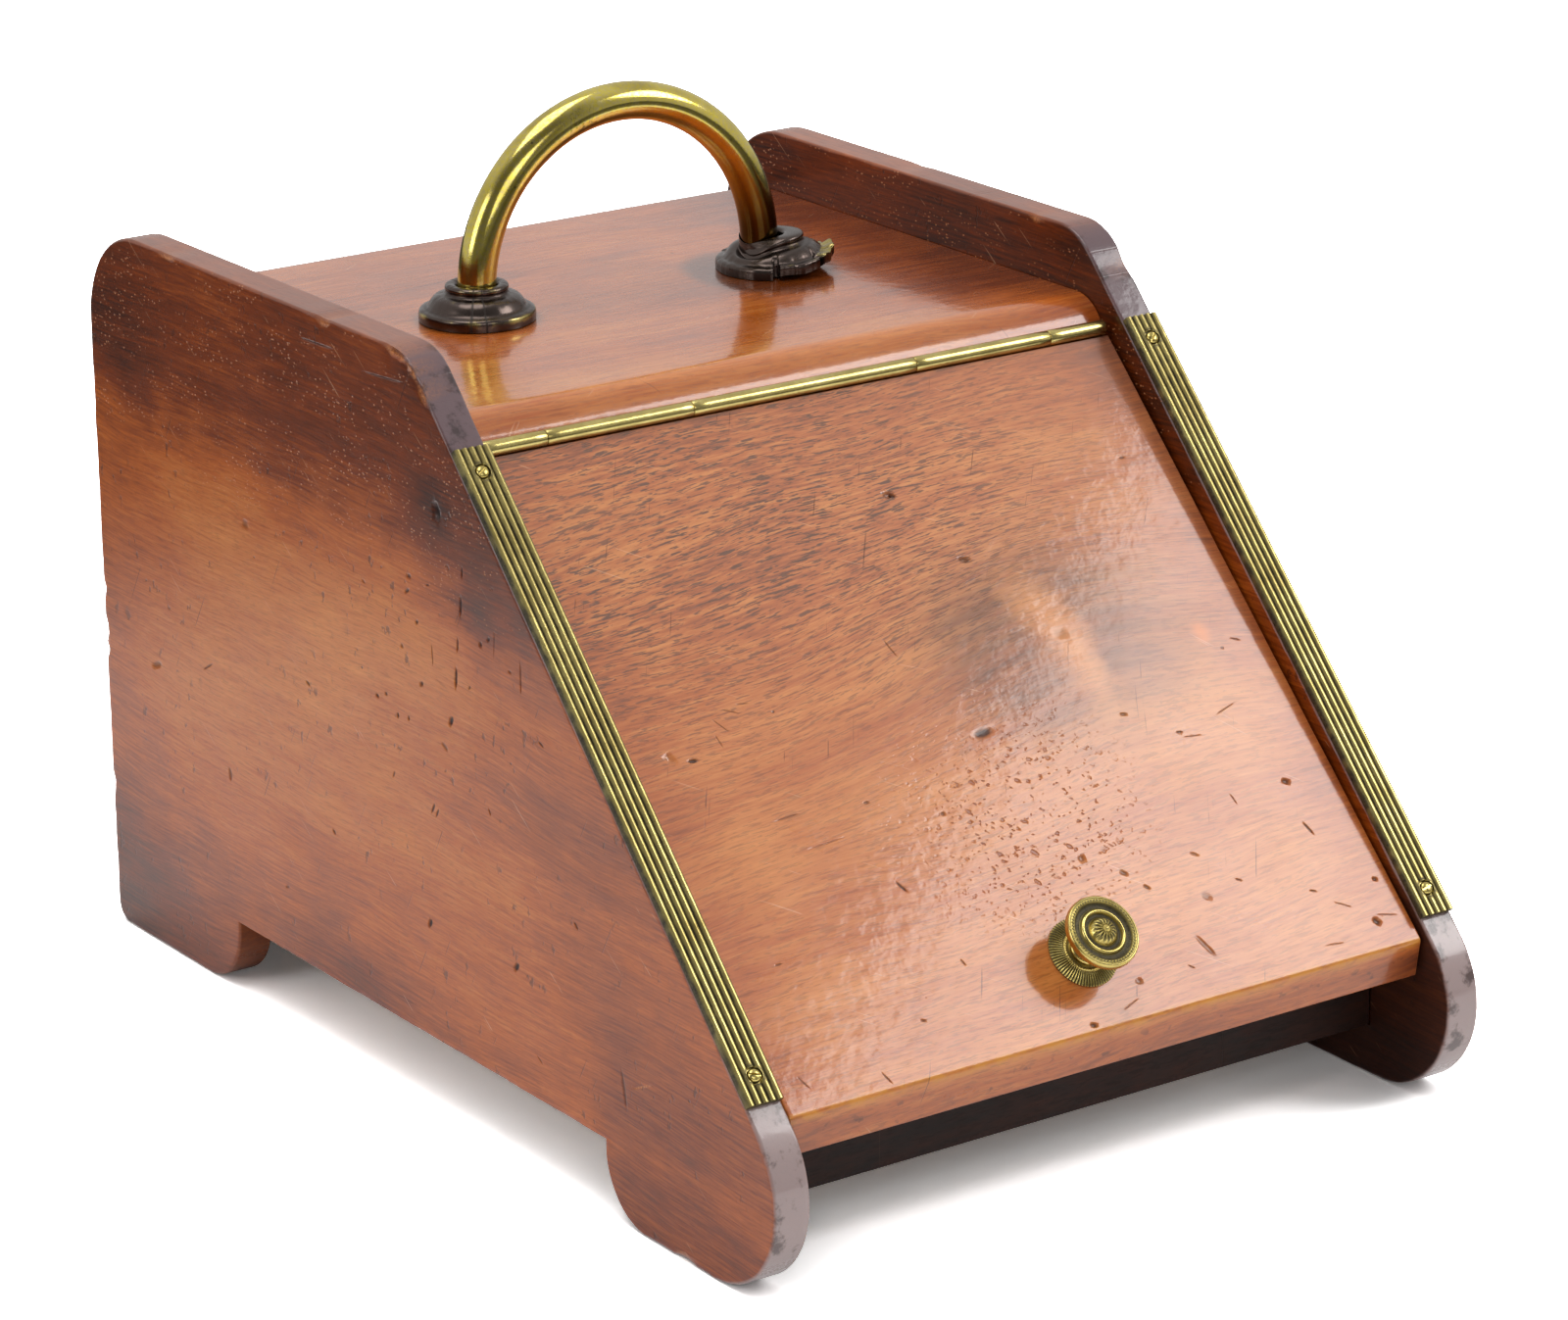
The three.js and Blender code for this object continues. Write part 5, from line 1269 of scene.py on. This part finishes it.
knob_profile = smooth_profile([
    (0.0, -10.5), (0.0, -10.5), (2.6, -10.5), (2.6, -10.5), (2.6, KNOB_BASE), (2.6, KNOB_BASE),
    (6.7, KNOB_BASE), (6.7, KNOB_BASE), (7.0, 3.7), (6.8, 4.5), (5.9, 5.2), (5.1, 6.2), (4.6, 7.8),
    (4.55, 9.6), (4.9, 11.2),
    (6.0, 12.6), (7.9, 13.7), (10.4, 14.4), (12.8, 14.8), (14.5, 15.3), (15.15, 16.1), (15.2, 17.2),
    (15.1, 18.2), (14.7, 18.9), (14.1, 19.0), (13.8, 18.8), (13.5, 19.0), (13.0, 19.25), (12.5, 19.0),
    (12.2, 18.5), (11.8, 17.9),
    (10.9, 17.6), (9.9, 17.7), (9.5, 18.3), (9.1, 18.9), (8.5, 19.0), (8.0, 18.6), (7.7, 17.9), (7.1, 17.6),
    (6.4, 17.7), (5.9, 18.2), (5.4, 19.1), (4.6, 20.2), (3.4, 21.0), (2.2, 21.2), (1.7, 21.15), (1.3, 21.6),
    (0.8, 22.0), (0.0, 22.1)])
shape = lathe(plate_profile, 432, plate_warp)
hollow = []
for x, y, z in shape[0]:
    r = hypot(x, y)
    hollow.append(clamp((1 - waves(72, atan2(y, x))) * 1.1 * (8.9 < r < 14.9) + near_to(r, 7.3, 0.9) * 0.9))
new_piece(
    "knob_plate", *moved(shape, at_knob), brass_knob, "lid", ["knob_backplate"], "brass", 50,
    {"hollow": hollow})

shape = lathe(knob_profile, 360, knob_warp)
hollow = []
for x, y, z in shape[0]:
    r, a = hypot(x, y), atan2(y, x)
    grooves = [top - abs(r - at) / wide for top, at, wide in (
        (2.0, 11.0, 0.9), (2.0, 6.9, 0.6), (0.9, 14.1, 0.4), (0.7, 1.75, 0.4 / 0.7))]
    beads = (1 - knob_beads(a, r)) * 1.2 * near_to(r, 13.0, 0.9)
    flutes = (1 - waves(16, a)) * 1.4 * near_to(r, 3.4, 2.4)
    hollow.append(clamp(max(*grooves, beads, flutes)) if z > 16.5 else 0.0)
new_piece("knob_turned", *moved(shape, at_knob), brass_knob, "lid", ["knob"], "brass", 50, {"hollow": hollow})

# ---------------------------------------------------------------- bail of the liner


def bail_path():
    """The wire's middle line: hooks in through the ears, arms forward over the rims, and a crossbar."""
    wire, arm, rim_gap = 2.5, 95, 9
    rim = atan((160 - 36) / (433.5 - 34))
    angle = rim + asin((rim_gap * cos(rim) - wire - PLAY) / arm)
    outside = 140 + 1.2 + PLAY
    arm_x, hook_x = outside + 1.6 + 0.9 + wire, outside - 3
    corners = [
        (-hook_x, 0, 0), (-arm_x, 0, 3.4), (-arm_x, -arm, 25),
        (arm_x, -arm, 25), (arm_x, 0, 3.4), (hook_x, 0, 0)]
    flat = []
    for i, (x, y, radius) in enumerate(corners):
        after = corners[(i + 1) % len(corners)]
        flat += turned_corner(corners[i - 1][:2], (x, y), after[:2], radius, radians(9))
    fine = [point for p, q in zip(flat, flat[1:]) for point in cut_up(p, q, 8)] + flat[-1:]
    return [(x, BAIL_PIVOT[0] + y * cos(angle), BAIL_PIVOT[1] + y * sin(angle)) for x, y in fine]


rivet = lathe([(0, 0), (3.6, 0), (4, 0.4), (4, 1.2), (3.4, 1.5), (0, 1.5)], 24)
heads = [
    moved(rivet, lambda x, y, z, k=k: (k * (137.0 + z), y + BAIL_PIVOT[0], x + BAIL_PIVOT[1]))
    for k in (-1, 1)]
verts, faces = merged(tube(bail_path(), 2.5, 20), *heads)
new_piece("bail_wire", verts, faces, steel, "bail", ["liner_bail"], "steel", 50)

# ---------------------------------------------------------------- CAD nodes that keep their shape

# what each name starts with: its material, and how far its edges are eased
LOOKS = {
    "back_board": (mahogany_back, 0.5), "bottom_board": (pine, 0.5), "top_block": (pine, 0.8),
    "bottom_block": (pine, 0.8), "hinge_pin": (steel, 0.0), "hinge_screw": (brass_hinge, 0.0),
    "back_screw": (steel, 0.0), "handle_washer": (steel, 0.2), "handle_nut": (steel, 0.4),
    "coal_liner": (japan, 0.35), "liner_ear": (japan, 0.3), "liner_rivet": (steel, 0.0),
}
for name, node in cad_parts.items():
    for start, (material, ease) in LOOKS.items():
        if name.startswith(start):
            node.data.materials.clear()
            node.data.materials.append(material)
            if ease:
                bevel = node.modifiers.new("ease", "BEVEL")
                bevel.width, bevel.segments, bevel.limit_method = ease * MM, 2, "ANGLE"
                bevel.angle_limit = radians(35)

# ---------------------------------------------------------------- floor, light and camera


def floor_material():
    """White paper, darker far off for all but the camera, which sees it bright but for a contact shadow
    painted from ambient occlusion near the object.
    """
    s = Shade("studio_floor")
    path = s.node("ShaderNodeLightPath")
    camera_ray, glossy_ray = [Value(s, path.outputs[kind]) for kind in ("Is Camera Ray", "Is Glossy Ray")]
    grain = s.noise(s.coords, 260, 2, 0.5)
    x, y, z = s.xyz(s.coords)
    paper = s.span(s.math("SQRT", x * x + y * y), 0.6, 1.0, 1.0, 0.12)
    seen = s.max(camera_ray, glossy_ray * (paper * 0.12))
    # ambient occlusion paints the contact shadow near the object; elsewhere the camera sees the paper
    # brightened to white
    close = s.get("ShaderNodeAmbientOcclusion", {"Distance": 0.06}, "AO", samples=4)
    tone = s.span(grain, 0.2, 0.8, 0.86, 0.9) * s.max(paper, camera_ray)
    tone = tone * (seen * s.span(close, 0.25, 0.95, 0.1, 3.8) + 1.0)
    diffuse = s.get("ShaderNodeBsdfDiffuse", {"Color": s.vec(tone, tone, tone)})
    glow = s.get("ShaderNodeEmission", {"Color": (1, 1, 1, 1), "Strength": camera_ray * 0.06})
    s.set(s.out.inputs["Surface"], s.get("ShaderNodeAddShader", {0: diffuse, 1: glow}))
    return s.material


def studio_world():
    """White for the camera. Else bright above and behind the object, dim where the camera stands."""
    s = Shade("studio", "World")
    way = s.get("ShaderNodeTexCoord", out="Generated")
    facing = s.get(
        "ShaderNodeVectorMath", {0: way, 1: (-0.50, -0.82, 0.28)}, "Value", operation="DOT_PRODUCT")
    room = s.span(facing, 0.1, 0.85, 0.66, 0.16)
    camera_ray = s.get("ShaderNodeLightPath", out="Is Camera Ray")
    strength = s.span(camera_ray, 0.0, 1.0, room, 1.0, "LINEAR")
    background = s.get("ShaderNodeBackground", {"Color": (1, 1, 1, 1), "Strength": strength})
    s.set(s.out.inputs["Surface"], background)
    return s.material


mesh = bpy.data.meshes.new("studio_floor")
mesh.from_pydata([(-9, -9, 0), (9, -9, 0), (9, 9, 0), (-9, 9, 0)], [], [(0, 1, 2, 3)])
mesh.materials.append(floor_material())
floor = in_scene("studio_floor", mesh)
floor.location.z = -0.0002
bpy.context.scene.world = studio_world()


def softbox(name, place, aim, size, power):
    data = bpy.data.lights.new(name, "AREA")
    data.shape, data.size, data.size_y, data.energy = "RECTANGLE", *size, power
    lamp = in_scene(name, data)
    lamp.location = place
    lamp.rotation_mode = "QUATERNION"
    lamp.rotation_quaternion = (Vector(aim) - Vector(place)).to_track_quat("-Z", "Y")


softbox("key", (1.65, -1.2, 1.65), (0, -0.05, 0.15), (1.0, 1.0), 21)
softbox("above", (-0.3, 0.25, 2.3), (0, 0, 0.2), (1.5, 1.1), 17)
softbox("left", (-2.1, 0.1, 1.1), (-0.1, 0, 0.12), (0.9, 1.1), 9)
softbox("front", (-0.6, -2.4, 1.3), (0, 0, 0.15), (1.6, 1.0), 10)

camera_data = bpy.data.cameras.new("photo_view")
camera_data.sensor_width, camera_data.lens = 36.0, 126.69
camera_data.clip_start, camera_data.clip_end = 0.05, 60.0
camera = in_scene("photo_view", camera_data)
camera.matrix_world = Matrix((
    (0.81940683, 0.1887415, -0.54124773, -1.21355),
    (-0.573152, 0.25607098, -0.77841148, -1.75972),
    (-0.00832071, 0.9480529, 0.31800387, 0.86848),
    (0, 0, 0, 1)))
bpy.context.scene.camera = camera
bpy.context.scene.view_settings.view_transform = "Standard"

bpy.context.view_layer.update()
